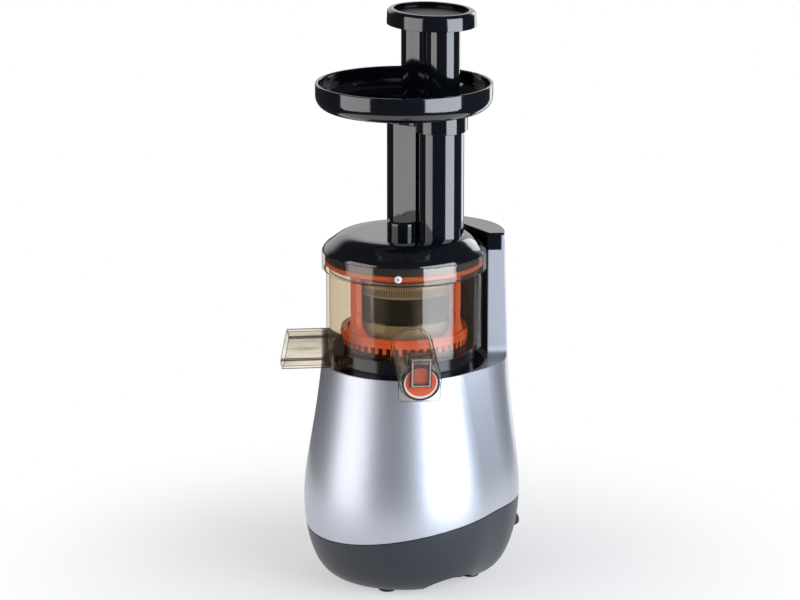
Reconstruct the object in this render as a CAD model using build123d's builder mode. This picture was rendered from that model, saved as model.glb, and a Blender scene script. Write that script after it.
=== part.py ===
"""Cold press juicer: a motor body with its column, a clear drum with the squeezing set,
a lid with the feed chute, a feed bowl and a pusher.

Frame: +Z is up, z = 0 is the table and the origin is the middle of the footprint. The
pulp spout points to -X and the juice spout to -Y. The pieces are drawn round the axis of
the squeezing screw, and save() moves them to where that axis stands, SCREW_AXIS. The body
is symmetric about a vertical plane through that axis, turned COLUMN_TURN from +X, and the
column stands on the far side of the drum in that plane. Sizes are in millimetres.
"""

from build123d import *
import os
from math import cos, pi, radians, sin, sqrt

os.makedirs("parts", exist_ok=True)

# ------------------------------------------------------------------ driving sizes

# Body
SCREW_AXIS = (0.0, 22.5)  # x and y of the screw axis, from the middle of the footprint
COLUMN_TURN = 26.0  # direction of the column, from +X towards +Y
REAR_OFFSET = 27.0  # from the screw axis to the centre of the body's rear circle
# Plan of the body at each height: z, radius round the screw axis, radius round the rear
BODY_PLAN = [
    (4.0, 57.0, 48.0),
    (14.0, 66.7, 55.8),
    (30.0, 72.8, 61.8),
    (58.0, 76.6, 65.8),
    (95.0, 73.5, 63.8),
    (130.0, 67.6, 59.4),
    (170.0, 62.4, 56.3),
    (215.0, 60.5, 54.9),
    (265.2, 60.0, 53.4),
]
BASE_Z = BODY_PLAN[0][0]
WALL = 2.6
RIM_Z = 170.0  # edge round the drum seat
LEDGE_Z = 166.0  # inner ledge that carries the drum seat
LEDGE_THICKNESS = 3.0
LEDGE_HOLE_R = 36.0
SEAM_FRONT = (-80.0, 39.5)  # parting line of the two housings, along the column plane
SEAM_MIDDLE = (0.0, 56.0)
SEAM_REAR = (100.0, 59.0)
SEAM_GAP = 0.7  # shadow line between the housings
SEAM_DEPTH = 1.1
ARCH_WIDTH = 46.0  # finger arches in the bottom edge, one on each side
ARCH_HEIGHT = 9.0

# Column
COLUMN_HALF_ANGLE = 27.0
COLUMN_TOP_Z = BODY_PLAN[-1][0]
COLUMN_CORNER_R = 9.0  # corner between the rim and the column
ROOM_R = 63.4  # inner radius of the column wall
CAP_Z = 253.7
CAP_THICKNESS = 1.6  # cover plate above the housing
CAP_WALL = 2.0  # housing wall outside the cap
LIP_Z = 262.6  # underside of the lip above the lid
LIP_INNER = 57.8  # straight inner edge of the lip, from the screw axis

# Feet and screws
FOOT_R = 7.0
FOOT_PLACES = [(46.0, 138.0), (46.0, -138.0), (52.0, 44.0), (52.0, -44.0)]
FOOT_HEIGHT = 5.5
PLATE_THICKNESS = 2.4
SCREW_R = 2.0
SCREW_HEAD_R = 4.0

# Drum seat
SEAT_R = 60.8
SEAT_THICKNESS = 3.4
COLLAR_R = 54.0
COLLAR_WALL = 2.6
COLLAR_TOP_Z = 182.6

# Drum
DRUM_R = 59.0
DRUM_WALL = 2.4
DRUM_FLOOR_Z = 183.0
DRUM_FLOOR = 2.4
RING_R = 62.2  # thicker ring round the drum's mouth
RING_Z = 242.8
DRUM_TOP_Z = 255.4
FOOT_RING_R = 50.6
DUCT_WIDTH = 26.4  # pulp duct and spout
DUCT_Y = -20.0
DUCT_BOTTOM_Z = 172.5
DUCT_TOP_Z = 199.2
DUCT_END_X = -95.0
DUCT_WALL = 2.0
DUCT_CORNER_R = 5.5
DUCT_CHANNEL_X = (-58.0, -14.0)  # ends of the channel under the floor
SPOUT_R = 15.75  # juice spout
SPOUT_WALL = 2.2
SPOUT_DROP = 11.0
SPOUT_ROOT = (-48.0, 197.0)  # y and z of the spout's axis inside the drum
SPOUT_LENGTH = 66.0
EAR_Y = 19.2  # hinge of the flap: above the spout's axis and along it
EAR_Z = 61.0
EAR_PIN_R = 1.2

# Squeezing set
GEAR_MODULE = 1.85
SCREW_TEETH = 24
PINION_TEETH = 12
BRUSH_TEETH = SCREW_TEETH + 2 * PINION_TEETH
GEAR_Z = 186.6
GEAR_WIDTH = 7.4
PINION_TURN = 62.0
HUB_R = 9.6
SHAFT_HEX = 10.6  # across corners
STRAINER_Z = 195.4
STRAINER_TOP_Z = 238.5
STRAINER_R = 38.0
STRAINER_WALL = 1.5
FLIGHT_R = 35.8
FLIGHT_PITCH = 46.0
FLIGHT_MEAN_R = 22.0
FLIGHT_Z = 200.5
FLIGHT_HEIGHT = 45.0
BRUSH_R = 47.6
BRUSH_TOP_R = 49.2
BRUSH_TOOTH_R = 42.8
BRUSH_GAP = 3.6  # gap between two teeth of the brush's ring
MESH_Z = 207.0
MESH_TOP_Z = 226.0
ARM_TURNS = (87.5, 207.5, 327.5)

# Lid, chute, feed bowl and pusher
LID_R = 61.6
LID_WALL = 2.4
LID_TOP_Z = 269.4
BOSS_R = 13.0
BOSS_TOP_Z = 279.0
PIN_R = 5.9
TAB_R = 66.2  # tab of the lid, held in the column's cap
TAB_Z = 256.2
TAB_THICKNESS = 3.2
CHUTE_MEAN_R = 29.0
CHUTE_HALF_ANGLE = 52.0
CHUTE_HALF_WIDTH = 16.0
CHUTE_WALL = 2.4
CHUTE_TOP_Z = 362.0
STEM_HALF_ANGLE = 37.0
STEM_HALF_WIDTH = 12.6
BOWL_R = 66.4
BOWL_RIM_Z = 384.0
BOWL_WALL = 2.4
SLEEVE_Z = 349.0
SLEEVE_WALL = 2.4
PUSHER_CAP_Z = 422.0
PUSHER_TOP_Z = 437.0
PUSHER_CAP_LENGTH = 76.0
PUSHER_CAP_WIDTH = 63.0
PUSHER_CAP_OFFSET = 24.0

# Drive
MOTOR_PINION_TEETH = 10
LAY_WHEEL_TEETH = 50
LAY_PINION_TEETH = 10
OUTPUT_TEETH = 30
FAST_MODULE = 1.0
SLOW_MODULE = FAST_MODULE * (MOTOR_PINION_TEETH + LAY_WHEEL_TEETH) / (
    LAY_PINION_TEETH + OUTPUT_TEETH
)
LAY_OFFSET = FAST_MODULE * (MOTOR_PINION_TEETH + LAY_WHEEL_TEETH) / 2
MOTOR_Z = 58.0
MOTOR_R = 36.0
MOTOR_HEIGHT = 64.0
BEARING_R = 9.0
BEARING_WIDTH = 6.0
MOTOR_SHAFT_R = 3.2
OUTPUT_SHAFT_R = 6.0

# Electrics
BOARD_Z = 20.0
BOARD_SIZE = (62.0, 46.0)

# Clearances
RUN = 0.05  # running fit of a shaft in its bearing, on the radius
SLIDE = 0.3  # loose fit of parts that are put together by hand

# ------------------------------------------------------------------ planes and outlines

COLUMN = Plane.XY.rotated((0, 0, COLUMN_TURN))  # +x towards the column
SIDE = Plane(  # the plane of symmetry: x towards the column, y up
    origin=(0, 0, 0),
    x_dir=(cos(radians(COLUMN_TURN)), sin(radians(COLUMN_TURN)), 0),
    z_dir=(sin(radians(COLUMN_TURN)), -cos(radians(COLUMN_TURN)), 0),
)
SPOUT = Plane(  # across the juice spout, z along its axis
    origin=(0, SPOUT_ROOT[0], SPOUT_ROOT[1]),
    x_dir=(1, 0, 0),
    z_dir=(0, -cos(radians(SPOUT_DROP)), -sin(radians(SPOUT_DROP))),
)


EAR_AXIS = Plane(  # z along the pin of the flap, x away from the drum, y up
    origin=SPOUT.from_local_coords((0, EAR_Y, EAR_Z)),
    x_dir=SPOUT.z_dir,
    z_dir=(-1, 0, 0),
)


def body_outline(front_radius, rear_radius):
    """Egg-shaped plan: the hull of a circle round the screw axis and one behind it."""
    Circle(front_radius)
    with Locations((REAR_OFFSET, 0)):
        Circle(rear_radius)
    make_hull()


def kidney(half_angle, half_width, mode=Mode.ADD):
    """Slot bent round the screw axis, centred on the column side."""
    spine = Edge.make_circle(CHUTE_MEAN_R, start_angle=-half_angle, end_angle=half_angle)
    SlotArc(arc=spine, height=2 * half_width, mode=mode)


def wedge(half_angle, turn=0.0, reach=150.0, mode=Mode.INTERSECT):
    """Keeps the part of a sketch that lies within half_angle of the direction turn."""
    left = radians(turn + half_angle)
    right = radians(turn - half_angle)
    Polygon(
        (0, 0),
        (reach * cos(right), reach * sin(right)),
        (2 * reach * cos(radians(turn)), 2 * reach * sin(radians(turn))),
        (reach * cos(left), reach * sin(left)),
        mode=mode,
    )


def gear_outline(teeth, module, turn=0.0):
    """Straight-flanked spur gear: a root circle with one trapezoid for each tooth."""
    pitch_radius = teeth * module / 2
    tip = pitch_radius + 0.85 * module
    root = pitch_radius - 1.15 * module
    root_half = 0.44 * module * pi / 2 * 1.25
    tip_half = 0.44 * module * pi / 2 * 0.5
    Circle(root)
    with PolarLocations(0, teeth, start_angle=turn):
        Polygon(
            (root * 0.9, -root_half),
            (tip, -tip_half),
            (tip, tip_half),
            (root * 0.9, root_half),
        )


def save(builder, name):
    """Names a finished piece, puts it in its place in the frame and writes it."""
    builder.part.label = name
    placed = builder.part.moved(Location((*SCREW_AXIS, 0)))
    placed.label = name
    export_step(placed, f"parts/{name}.step")


# ------------------------------------------------------------------ body

with BuildPart() as body_form:
    for height, front, rear in BODY_PLAN:
        with BuildSketch(COLUMN.offset(height)):
            body_outline(front, rear)
    loft()

with BuildPart() as body_core:
    for height, front, rear in BODY_PLAN:
        with BuildSketch(COLUMN.offset(height)):
            body_outline(front - WALL, rear - WALL)
    loft()
    split(bisect_by=Plane.XY.offset(LEDGE_Z - LEDGE_THICKNESS), keep=Keep.BOTTOM)

with BuildPart() as body_skin:
    for height, front, rear in BODY_PLAN:
        with BuildSketch(COLUMN.offset(height)):
            body_outline(front - SEAM_DEPTH, rear - SEAM_DEPTH)
    loft()

with BuildPart() as below_seam:
    with BuildSketch(SIDE):
        with BuildLine():
            seam = ThreePointArc(SEAM_FRONT, SEAM_MIDDLE, SEAM_REAR)
            Polyline(seam @ 1, (SEAM_REAR[0], -5), (SEAM_FRONT[0], -5), seam @ 0)
        make_face()
    extrude(amount=90, both=True)

with BuildPart() as seam_groove:  # shadow line round the body, below the parting line
    add(below_seam.part)
    add(below_seam.part.moved(Location((0, 0, -SEAM_GAP))), mode=Mode.SUBTRACT)
    add(body_skin.part, mode=Mode.SUBTRACT)

with BuildPart() as drum_room:  # the open space round the drum, down to the rim
    with BuildSketch(COLUMN.offset(RIM_Z)):
        Circle(130)
        wedge(COLUMN_HALF_ANGLE, mode=Mode.SUBTRACT)
    extrude(amount=120)
    foot_edges = drum_room.edges().group_by(Axis.Z)[0].filter_by(GeomType.LINE)
    fillet(foot_edges, COLUMN_CORNER_R)
    with BuildSketch(COLUMN.offset(RIM_Z)):
        Circle(ROOM_R)
    extrude(amount=120)

SWITCH_Z = 98.0
SWITCH_OUT = REAR_OFFSET + 63.5  # distance of the rear wall from the screw axis there
SWITCH_LEAN = 6.5
SWITCH_LENGTH = 27.0
SWITCH_WIDTH = 21.0
SWITCH_HOLE = (21.4, 15.4)
SWITCH = Plane(  # face of the switch, on the rear wall, y up
    origin=COLUMN.from_local_coords((SWITCH_OUT, 0, SWITCH_Z)),
    x_dir=(-sin(radians(COLUMN_TURN)), cos(radians(COLUMN_TURN)), 0),
    z_dir=(
        cos(radians(COLUMN_TURN)) * cos(radians(SWITCH_LEAN)),
        sin(radians(COLUMN_TURN)) * cos(radians(SWITCH_LEAN)),
        sin(radians(SWITCH_LEAN)),
    ),
)

ROCKER = Plane(SWITCH.origin, x_dir=SWITCH.x_dir, z_dir=-SWITCH.y_dir)
ROCKER_R = 9.2
ROCKER_PIN_R = 1.2
ROCKER_DEPTH = 3.2  # axis of the rocker below the wall

with BuildPart() as upper_housing:
    add(body_form.part)
    add(below_seam.part, mode=Mode.SUBTRACT)
    add(body_core.part, mode=Mode.SUBTRACT)
    add(drum_room.part, mode=Mode.SUBTRACT)
    with BuildSketch(COLUMN.offset(LEDGE_Z)):
        Circle(SEAT_R + SLIDE)
    extrude(amount=RIM_Z - LEDGE_Z, mode=Mode.SUBTRACT)
    with BuildSketch(COLUMN.offset(LEDGE_Z - LEDGE_THICKNESS)):
        Circle(LEDGE_HOLE_R)
    extrude(amount=LEDGE_THICKNESS, mode=Mode.SUBTRACT)
    # hollow of the column, open to the body below and to the cap above
    with BuildSketch(COLUMN.offset(LEDGE_Z - LEDGE_THICKNESS)):
        with Locations((REAR_OFFSET, 0)):
            Circle(BODY_PLAN[-1][2] - WALL)
        Circle(ROOM_R + WALL, mode=Mode.SUBTRACT)
        wedge(COLUMN_HALF_ANGLE - 2.2)
    extrude(amount=CAP_Z - LEDGE_Z + LEDGE_THICKNESS, mode=Mode.SUBTRACT)
    # seat of the cap, inside the outer wall
    with BuildSketch(COLUMN.offset(CAP_Z)):
        with Locations((REAR_OFFSET, 0)):
            Circle(BODY_PLAN[-1][2] - CAP_WALL)
    extrude(amount=COLUMN_TOP_Z - CAP_Z, mode=Mode.SUBTRACT)
    # switch: a flat for the bezel and a hole for its body
    with BuildSketch(SWITCH.offset(-1.2)):
        RectangleRounded(SWITCH_LENGTH + 0.2, SWITCH_WIDTH + 0.2, 2.1)
    extrude(amount=8, mode=Mode.SUBTRACT)
    with BuildSketch(SWITCH):
        Rectangle(*SWITCH_HOLE)
    extrude(amount=-10, mode=Mode.SUBTRACT)
save(upper_housing, "upper_housing")

GLAND_Z = 24.0
GLAND_HOLE_R = 6.0
GLAND_BORE_R = 3.4
GLAND = Plane(  # z outwards along the column direction
    origin=(0, 0, GLAND_Z),
    x_dir=(-sin(radians(COLUMN_TURN)), cos(radians(COLUMN_TURN)), 0),
    z_dir=(cos(radians(COLUMN_TURN)), sin(radians(COLUMN_TURN)), 0),
)
PLATE_Z = BASE_Z + 1.5
FOOT_POINTS = [
    (r * cos(radians(a)), r * sin(radians(a))) for r, a in FOOT_PLACES
]

with BuildPart() as base_housing:
    add(body_form.part)
    add(below_seam.part, mode=Mode.INTERSECT)
    add(body_core.part, mode=Mode.SUBTRACT)
    add(seam_groove.part, mode=Mode.SUBTRACT)
    # bosses for the screws of the base plate, tied to the wall
    with BuildSketch(COLUMN.offset(PLATE_Z + PLATE_THICKNESS)):
        with Locations(*FOOT_POINTS):
            Circle(SCREW_R + 2.6)
    extrude(amount=16)
    with BuildSketch(COLUMN.offset(PLATE_Z + PLATE_THICKNESS)):
        for point, place in zip(FOOT_POINTS, FOOT_PLACES):
            with Locations((point[0] * 1.2, point[1] * 1.2)):
                Rectangle(place[0] * 0.4, 2.0, rotation=place[1])
    extrude(amount=14)
    add(body_form.part, mode=Mode.INTERSECT)
    with BuildSketch(COLUMN.offset(BASE_Z)):
        with Locations(*FOOT_POINTS):
            Circle(SCREW_R + RUN)
    extrude(amount=19, mode=Mode.SUBTRACT)
    # finger arches
    with BuildSketch(SIDE):
        with Locations((6, BASE_Z)):
            Ellipse(ARCH_WIDTH / 2, ARCH_HEIGHT)
    extrude(amount=90, both=True, mode=Mode.SUBTRACT)
    with BuildSketch(GLAND):
        Circle(GLAND_HOLE_R)
    extrude(amount=100, mode=Mode.SUBTRACT)
save(base_housing, "base_housing")

with BuildPart() as base_plate:
    with BuildSketch(COLUMN.offset(PLATE_Z)):
        body_outline(BODY_PLAN[0][1] - WALL - SLIDE, BODY_PLAN[0][2] - WALL - SLIDE)
        with Locations(*FOOT_POINTS):
            Circle(SCREW_R + RUN, mode=Mode.SUBTRACT)
        with Locations((REAR_OFFSET / 2, 0)):
            with GridLocations(6.0, 1.0, 9, 1):
                SlotOverall(34, 2.6, rotation=90, mode=Mode.SUBTRACT)
        with Locations((6, 57.0), (6, -57.0)):
            Ellipse(ARCH_WIDTH / 2, ARCH_HEIGHT, mode=Mode.SUBTRACT)
    extrude(amount=PLATE_THICKNESS)
    with BuildSketch(COLUMN.offset(PLATE_Z + PLATE_THICKNESS)):  # posts of the board
        with Locations((REAR_OFFSET / 2, 0)):
            with GridLocations(BOARD_SIZE[0] - 7, BOARD_SIZE[1] - 7, 2, 2):
                Circle(2.6)
    extrude(amount=BOARD_Z - PLATE_Z - PLATE_THICKNESS)
save(base_plate, "base_plate")

with BuildPart() as feet:
    with BuildSketch(COLUMN):
        with Locations(*FOOT_POINTS):
            Circle(FOOT_R)
    extrude(amount=FOOT_HEIGHT)
    chamfer(feet.edges().group_by(Axis.Z)[0], 1.0)
    with BuildSketch(COLUMN):
        with Locations(*FOOT_POINTS):
            Circle(SCREW_HEAD_R + RUN)
    extrude(amount=FOOT_HEIGHT - 1.8, mode=Mode.SUBTRACT)
    with BuildSketch(COLUMN):
        with Locations(*FOOT_POINTS):
            Circle(SCREW_R + RUN)
    extrude(amount=FOOT_HEIGHT, mode=Mode.SUBTRACT)
save(feet, "feet")

with BuildPart() as base_screws:
    with BuildSketch(COLUMN.offset(FOOT_HEIGHT - 1.8 - 2.4)):
        with Locations(*FOOT_POINTS):
            Circle(SCREW_HEAD_R)
    extrude(amount=2.4)
    with BuildSketch(COLUMN.offset(FOOT_HEIGHT - 1.8)):
        with Locations(*FOOT_POINTS):
            Circle(SCREW_R)
    extrude(amount=16)
save(base_screws, "base_screws")

with BuildPart() as cord_gland:  # rubber bush: its groove holds the wall of the housing
    with BuildSketch(SIDE):
        with BuildLine():
            inner = REAR_OFFSET + 52.0
            outer = REAR_OFFSET + 66.0
            Polyline(
                (inner, GLAND_Z + GLAND_BORE_R),
                (outer + 11, GLAND_Z + GLAND_BORE_R),
                (outer + 11, GLAND_Z + GLAND_BORE_R + 1.3),
                (outer, GLAND_Z + GLAND_HOLE_R + 1.6),
                (outer - 3.2, GLAND_Z + GLAND_HOLE_R + 1.6),
                (outer - 3.2, GLAND_Z + GLAND_HOLE_R),
                (inner, GLAND_Z + GLAND_HOLE_R),
                close=True,
            )
        make_face()
    revolve(axis=Axis(GLAND.origin, GLAND.z_dir))
save(cord_gland, "cord_gland")

with BuildPart() as switch_bezel:
    with BuildSketch(SWITCH.offset(-1.2)):
        RectangleRounded(SWITCH_LENGTH, SWITCH_WIDTH, 2.0)
    extrude(amount=2.4)
    fillet(switch_bezel.edges().group_by(Axis(SWITCH.origin, SWITCH.z_dir))[-1], 0.8)
    with BuildSketch(SWITCH.offset(-1.2)):
        Rectangle(SWITCH_HOLE[0] - 0.2, SWITCH_HOLE[1] - 0.2)
    extrude(amount=-9)
    with BuildSketch(SWITCH.offset(1.2)):
        Rectangle(SWITCH_HOLE[0] - 2.4, SWITCH_HOLE[1] - 2.4)
    extrude(amount=-8.5, mode=Mode.SUBTRACT)
    with BuildSketch(ROCKER):
        with Locations((0, -ROCKER_DEPTH)):
            Circle(ROCKER_PIN_R + RUN)
    extrude(amount=SWITCH_HOLE[1], both=True, mode=Mode.SUBTRACT)
save(switch_bezel, "switch_bezel")

with BuildPart() as switch_rocker:
    with BuildSketch(ROCKER):
        with Locations((0, -ROCKER_DEPTH)):
            Circle(ROCKER_R)
        Polygon((-12, 2.7), (0, 0.5), (12, 2.7), (12, -5), (-12, -5), mode=Mode.INTERSECT)
    extrude(amount=SWITCH_HOLE[1] / 2 - 1.7, both=True)
    with BuildSketch(ROCKER):
        with Locations((0, -ROCKER_DEPTH)):
            Circle(ROCKER_PIN_R)
    extrude(amount=SWITCH_HOLE[1] / 2 - 0.5, both=True)
save(switch_rocker, "switch_rocker")


with BuildPart() as column_cap:
    with BuildSketch(COLUMN.offset(CAP_Z)):
        with Locations((REAR_OFFSET, 0)):
            Circle(BODY_PLAN[-1][2] - CAP_WALL)
        Circle(ROOM_R, mode=Mode.SUBTRACT)
        wedge(COLUMN_HALF_ANGLE)
    extrude(amount=COLUMN_TOP_Z - CAP_Z)
    with BuildSketch(COLUMN.offset(LIP_Z)):
        with Locations((REAR_OFFSET, 0)):
            Circle(BODY_PLAN[-1][2] - CAP_WALL)
        with Locations((LIP_INNER + 50, 0)):
            Rectangle(100, 200, mode=Mode.INTERSECT)
        wedge(COLUMN_HALF_ANGLE)
    extrude(amount=COLUMN_TOP_Z - LIP_Z)
    with BuildSketch(COLUMN.offset(COLUMN_TOP_Z)):
        with Locations((REAR_OFFSET, 0)):
            Circle(BODY_PLAN[-1][2])
        with Locations((LIP_INNER + 50, 0)):
            Rectangle(100, 200, mode=Mode.INTERSECT)
        wedge(COLUMN_HALF_ANGLE)
    extrude(amount=CAP_THICKNESS)
    fillet(column_cap.edges().group_by(Axis.Z)[-1], 0.8)
    # track of the lid's tab, open at the far end of the column
    with BuildSketch(COLUMN.offset(TAB_Z - 0.7)):
        Circle(TAB_R + 1.0)
        wedge(30.0, turn=30.5)
    extrude(amount=TAB_THICKNESS + 1.4, mode=Mode.SUBTRACT)
save(column_cap, "column_cap")

with BuildPart() as lid_switch:  # closes the motor's circuit when the lid's tab is home
    with BuildSketch(COLUMN.offset(CAP_Z - 11.0)):
        with Locations((REAR_OFFSET + 44.5, 6.0)):
            Rectangle(6.4, 20.0)
    extrude(amount=11.0)
save(lid_switch, "lid_switch")

with BuildPart() as drum_seat:
    with BuildSketch(COLUMN.offset(LEDGE_Z)):
        Circle(SEAT_R)
    extrude(amount=SEAT_THICKNESS)
    with BuildSketch(COLUMN.offset(LEDGE_Z + SEAT_THICKNESS)):
        Circle(COLLAR_R)
    extrude(amount=COLLAR_TOP_Z - LEDGE_Z - SEAT_THICKNESS)
    fillet(drum_seat.edges().group_by(Axis.Z)[-1], 1.2)
    with BuildSketch(COLUMN.offset(LEDGE_Z + SEAT_THICKNESS)):
        Circle(COLLAR_R - COLLAR_WALL)
    extrude(amount=40, mode=Mode.SUBTRACT)
    with BuildSketch(COLUMN.offset(LEDGE_Z + SEAT_THICKNESS)):
        Circle(15)
    extrude(amount=2.4)
    with BuildSketch(Plane.XY.offset(DUCT_BOTTOM_Z - 0.8)):
        with Locations((-60, DUCT_Y)):
            Rectangle(80, DUCT_WIDTH + 1.6)
    extrude(amount=40, mode=Mode.SUBTRACT)
    with BuildSketch(COLUMN.offset(LEDGE_Z)):
        Circle(OUTPUT_SHAFT_R + RUN)
    extrude(amount=20, mode=Mode.SUBTRACT)
save(drum_seat, "drum_seat")

# ------------------------------------------------------------------ motor and gearbox

GEARBOX_Z = MOTOR_Z + MOTOR_HEIGHT  # underside of the gearbox
GEARBOX_TOP = LEDGE_Z - LEDGE_THICKNESS
COVER_THICKNESS = 5.0
BOX_WALL = 2.5
FAST_Z = GEARBOX_Z + 8.4
SLOW_Z = FAST_Z + 11.0
WHEEL_WIDTH = 8.0

with BuildPart() as gearbox_housing:
    with BuildSketch(COLUMN.offset(GEARBOX_Z)):
        Circle(30)
        with Locations((LAY_OFFSET, 0)):
            Circle(LAY_WHEEL_TEETH * FAST_MODULE / 2 + 4.0)
        make_hull()
    extrude(amount=GEARBOX_TOP - COVER_THICKNESS - GEARBOX_Z)
    with BuildSketch(COLUMN.offset(GEARBOX_Z + 3.0)):
        Circle(30 - BOX_WALL)
        with Locations((LAY_OFFSET, 0)):
            Circle(LAY_WHEEL_TEETH * FAST_MODULE / 2 + 4.0 - BOX_WALL)
        make_hull()
    extrude(amount=60, mode=Mode.SUBTRACT)
    with BuildSketch(COLUMN.offset(GEARBOX_Z + 3.0)):
        Circle(BEARING_R + 2.5)
        with Locations((LAY_OFFSET, 0)):
            Circle(5.0)
    extrude(amount=4.0)
    with BuildSketch(COLUMN.offset(GEARBOX_Z + 1.0)):
        Circle(BEARING_R)
    extrude(amount=10, mode=Mode.SUBTRACT)
    with BuildSketch(COLUMN.offset(GEARBOX_Z)):
        Circle(MOTOR_SHAFT_R + 0.6)
        with Locations((LAY_OFFSET, 0)):
            Circle(2.5)
    extrude(amount=12, mode=Mode.SUBTRACT)
save(gearbox_housing, "gearbox_housing")

with BuildPart() as gearbox_cover:
    with BuildSketch(COLUMN.offset(GEARBOX_TOP - COVER_THICKNESS)):
        Circle(44)
        with Locations((LAY_OFFSET, 0)):
            Circle(LAY_WHEEL_TEETH * FAST_MODULE / 2 + 4.0)
        make_hull()
    extrude(amount=COVER_THICKNESS)
    with BuildSketch(COLUMN.offset(GEARBOX_TOP - COVER_THICKNESS)):
        Circle(BEARING_R)
    extrude(amount=BEARING_WIDTH - 2.0, mode=Mode.SUBTRACT)
    with BuildSketch(COLUMN.offset(GEARBOX_TOP - COVER_THICKNESS)):
        Circle(OUTPUT_SHAFT_R + 0.6)
    extrude(amount=20, mode=Mode.SUBTRACT)
    with BuildSketch(COLUMN.offset(GEARBOX_TOP - COVER_THICKNESS)):
        with Locations((LAY_OFFSET, 0)):
            Circle(2.5)
    extrude(amount=3.0, mode=Mode.SUBTRACT)
save(gearbox_cover, "gearbox_cover")

with BuildPart() as bearings:  # plain ball bearings, shown closed
    with BuildSketch(COLUMN.offset(MOTOR_Z + 1.0)):
        Circle(BEARING_R)
        Circle(MOTOR_SHAFT_R + RUN, mode=Mode.SUBTRACT)
    extrude(amount=BEARING_WIDTH)
    with BuildSketch(COLUMN.offset(GEARBOX_Z + 1.0)):
        Circle(BEARING_R)
        Circle(MOTOR_SHAFT_R + RUN, mode=Mode.SUBTRACT)
    extrude(amount=BEARING_WIDTH)
    with BuildSketch(COLUMN.offset(GEARBOX_TOP - COVER_THICKNESS - 2.0)):
        Circle(BEARING_R)
        Circle(OUTPUT_SHAFT_R + RUN, mode=Mode.SUBTRACT)
    extrude(amount=BEARING_WIDTH)
save(bearings, "bearings")

with BuildPart() as lay_pin:  # fixed pin of the middle wheel
    with BuildSketch(COLUMN.offset(GEARBOX_Z)):
        with Locations((LAY_OFFSET, 0)):
            Circle(2.5)
    extrude(amount=GEARBOX_TOP - COVER_THICKNESS + 3.0 - GEARBOX_Z)
save(lay_pin, "lay_pin")

LAY_AXIS = Plane(
    origin=COLUMN.from_local_coords((LAY_OFFSET, 0, 0)),
    x_dir=COLUMN.x_dir,
    z_dir=(0, 0, 1),
)

with BuildPart() as lay_wheel:  # middle wheel with its pinion
    with BuildSketch(LAY_AXIS.offset(FAST_Z)):
        gear_outline(LAY_WHEEL_TEETH, FAST_MODULE, turn=180 / LAY_WHEEL_TEETH)
    extrude(amount=WHEEL_WIDTH)
    with BuildSketch(LAY_AXIS.offset(FAST_Z + WHEEL_WIDTH)):
        gear_outline(LAY_PINION_TEETH, SLOW_MODULE)
    extrude(amount=SLOW_Z - FAST_Z)
    with BuildSketch(LAY_AXIS.offset(FAST_Z - 1.2)):
        Circle(4.5)
    extrude(amount=2.0)
    with BuildSketch(LAY_AXIS.offset(FAST_Z - 2.0)):
        Circle(2.5 + RUN)
    extrude(amount=40, mode=Mode.SUBTRACT)
save(lay_wheel, "lay_wheel")

with BuildPart() as motor_can:
    with BuildSketch(COLUMN.offset(MOTOR_Z)):
        Circle(MOTOR_R)
    extrude(amount=MOTOR_HEIGHT)
    with BuildSketch(COLUMN.offset(MOTOR_Z + 2.0)):
        Circle(MOTOR_R - 2.0)
    extrude(amount=MOTOR_HEIGHT, mode=Mode.SUBTRACT)
    with BuildSketch(COLUMN.offset(MOTOR_Z)):
        Circle(BEARING_R + 2.0)
    extrude(amount=BEARING_WIDTH + 1.0)
    with BuildSketch(COLUMN.offset(MOTOR_Z + 1.0)):
        Circle(BEARING_R)
    extrude(amount=BEARING_WIDTH, mode=Mode.SUBTRACT)
    with BuildSketch(COLUMN.offset(MOTOR_Z)):
        Circle(MOTOR_SHAFT_R + 0.6)
        with PolarLocations(22, 6):
            Circle(4)
    extrude(amount=4, mode=Mode.SUBTRACT)
save(motor_can, "motor_can")

STACK_Z = MOTOR_Z + 20.0
STACK_HEIGHT = 28.0
with BuildPart() as motor_magnets:  # two half rings inside the can
    with BuildSketch(COLUMN.offset(STACK_Z - 4.0)):
        Circle(MOTOR_R - 2.0)
        Circle(MOTOR_R - 9.0, mode=Mode.SUBTRACT)
        Rectangle(90, 12, mode=Mode.SUBTRACT)
    extrude(amount=STACK_HEIGHT + 8.0)
save(motor_magnets, "motor_magnets")

with BuildPart() as armature_core:  # slotted stack on the motor shaft
    with BuildSketch(COLUMN.offset(STACK_Z)):
        Circle(MOTOR_R - 9.8)
        with PolarLocations(MOTOR_R - 13.0, 10):
            Rectangle(9.0, 3.6, mode=Mode.SUBTRACT)
        Circle(MOTOR_SHAFT_R, mode=Mode.SUBTRACT)
    extrude(amount=STACK_HEIGHT)
save(armature_core, "armature_core")

with BuildPart() as armature_windings:
    with BuildSketch(COLUMN.offset(STACK_Z - 5.0)):
        Circle(MOTOR_R - 12.5)
        Circle(MOTOR_SHAFT_R, mode=Mode.SUBTRACT)
    extrude(amount=5.0)
    with BuildSketch(COLUMN.offset(STACK_Z + STACK_HEIGHT)):
        Circle(MOTOR_R - 12.5)
        Circle(MOTOR_SHAFT_R, mode=Mode.SUBTRACT)
    extrude(amount=5.0)
save(armature_windings, "armature_windings")

with BuildPart() as motor_shaft:
    with BuildSketch(COLUMN.offset(MOTOR_Z + 0.5)):
        Circle(MOTOR_SHAFT_R)
    extrude(amount=FAST_Z - MOTOR_Z)
    with BuildSketch(COLUMN.offset(FAST_Z)):
        gear_outline(MOTOR_PINION_TEETH, FAST_MODULE)
    extrude(amount=WHEEL_WIDTH)
save(motor_shaft, "motor_shaft")

# ------------------------------------------------------------------ output shaft and screw

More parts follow.
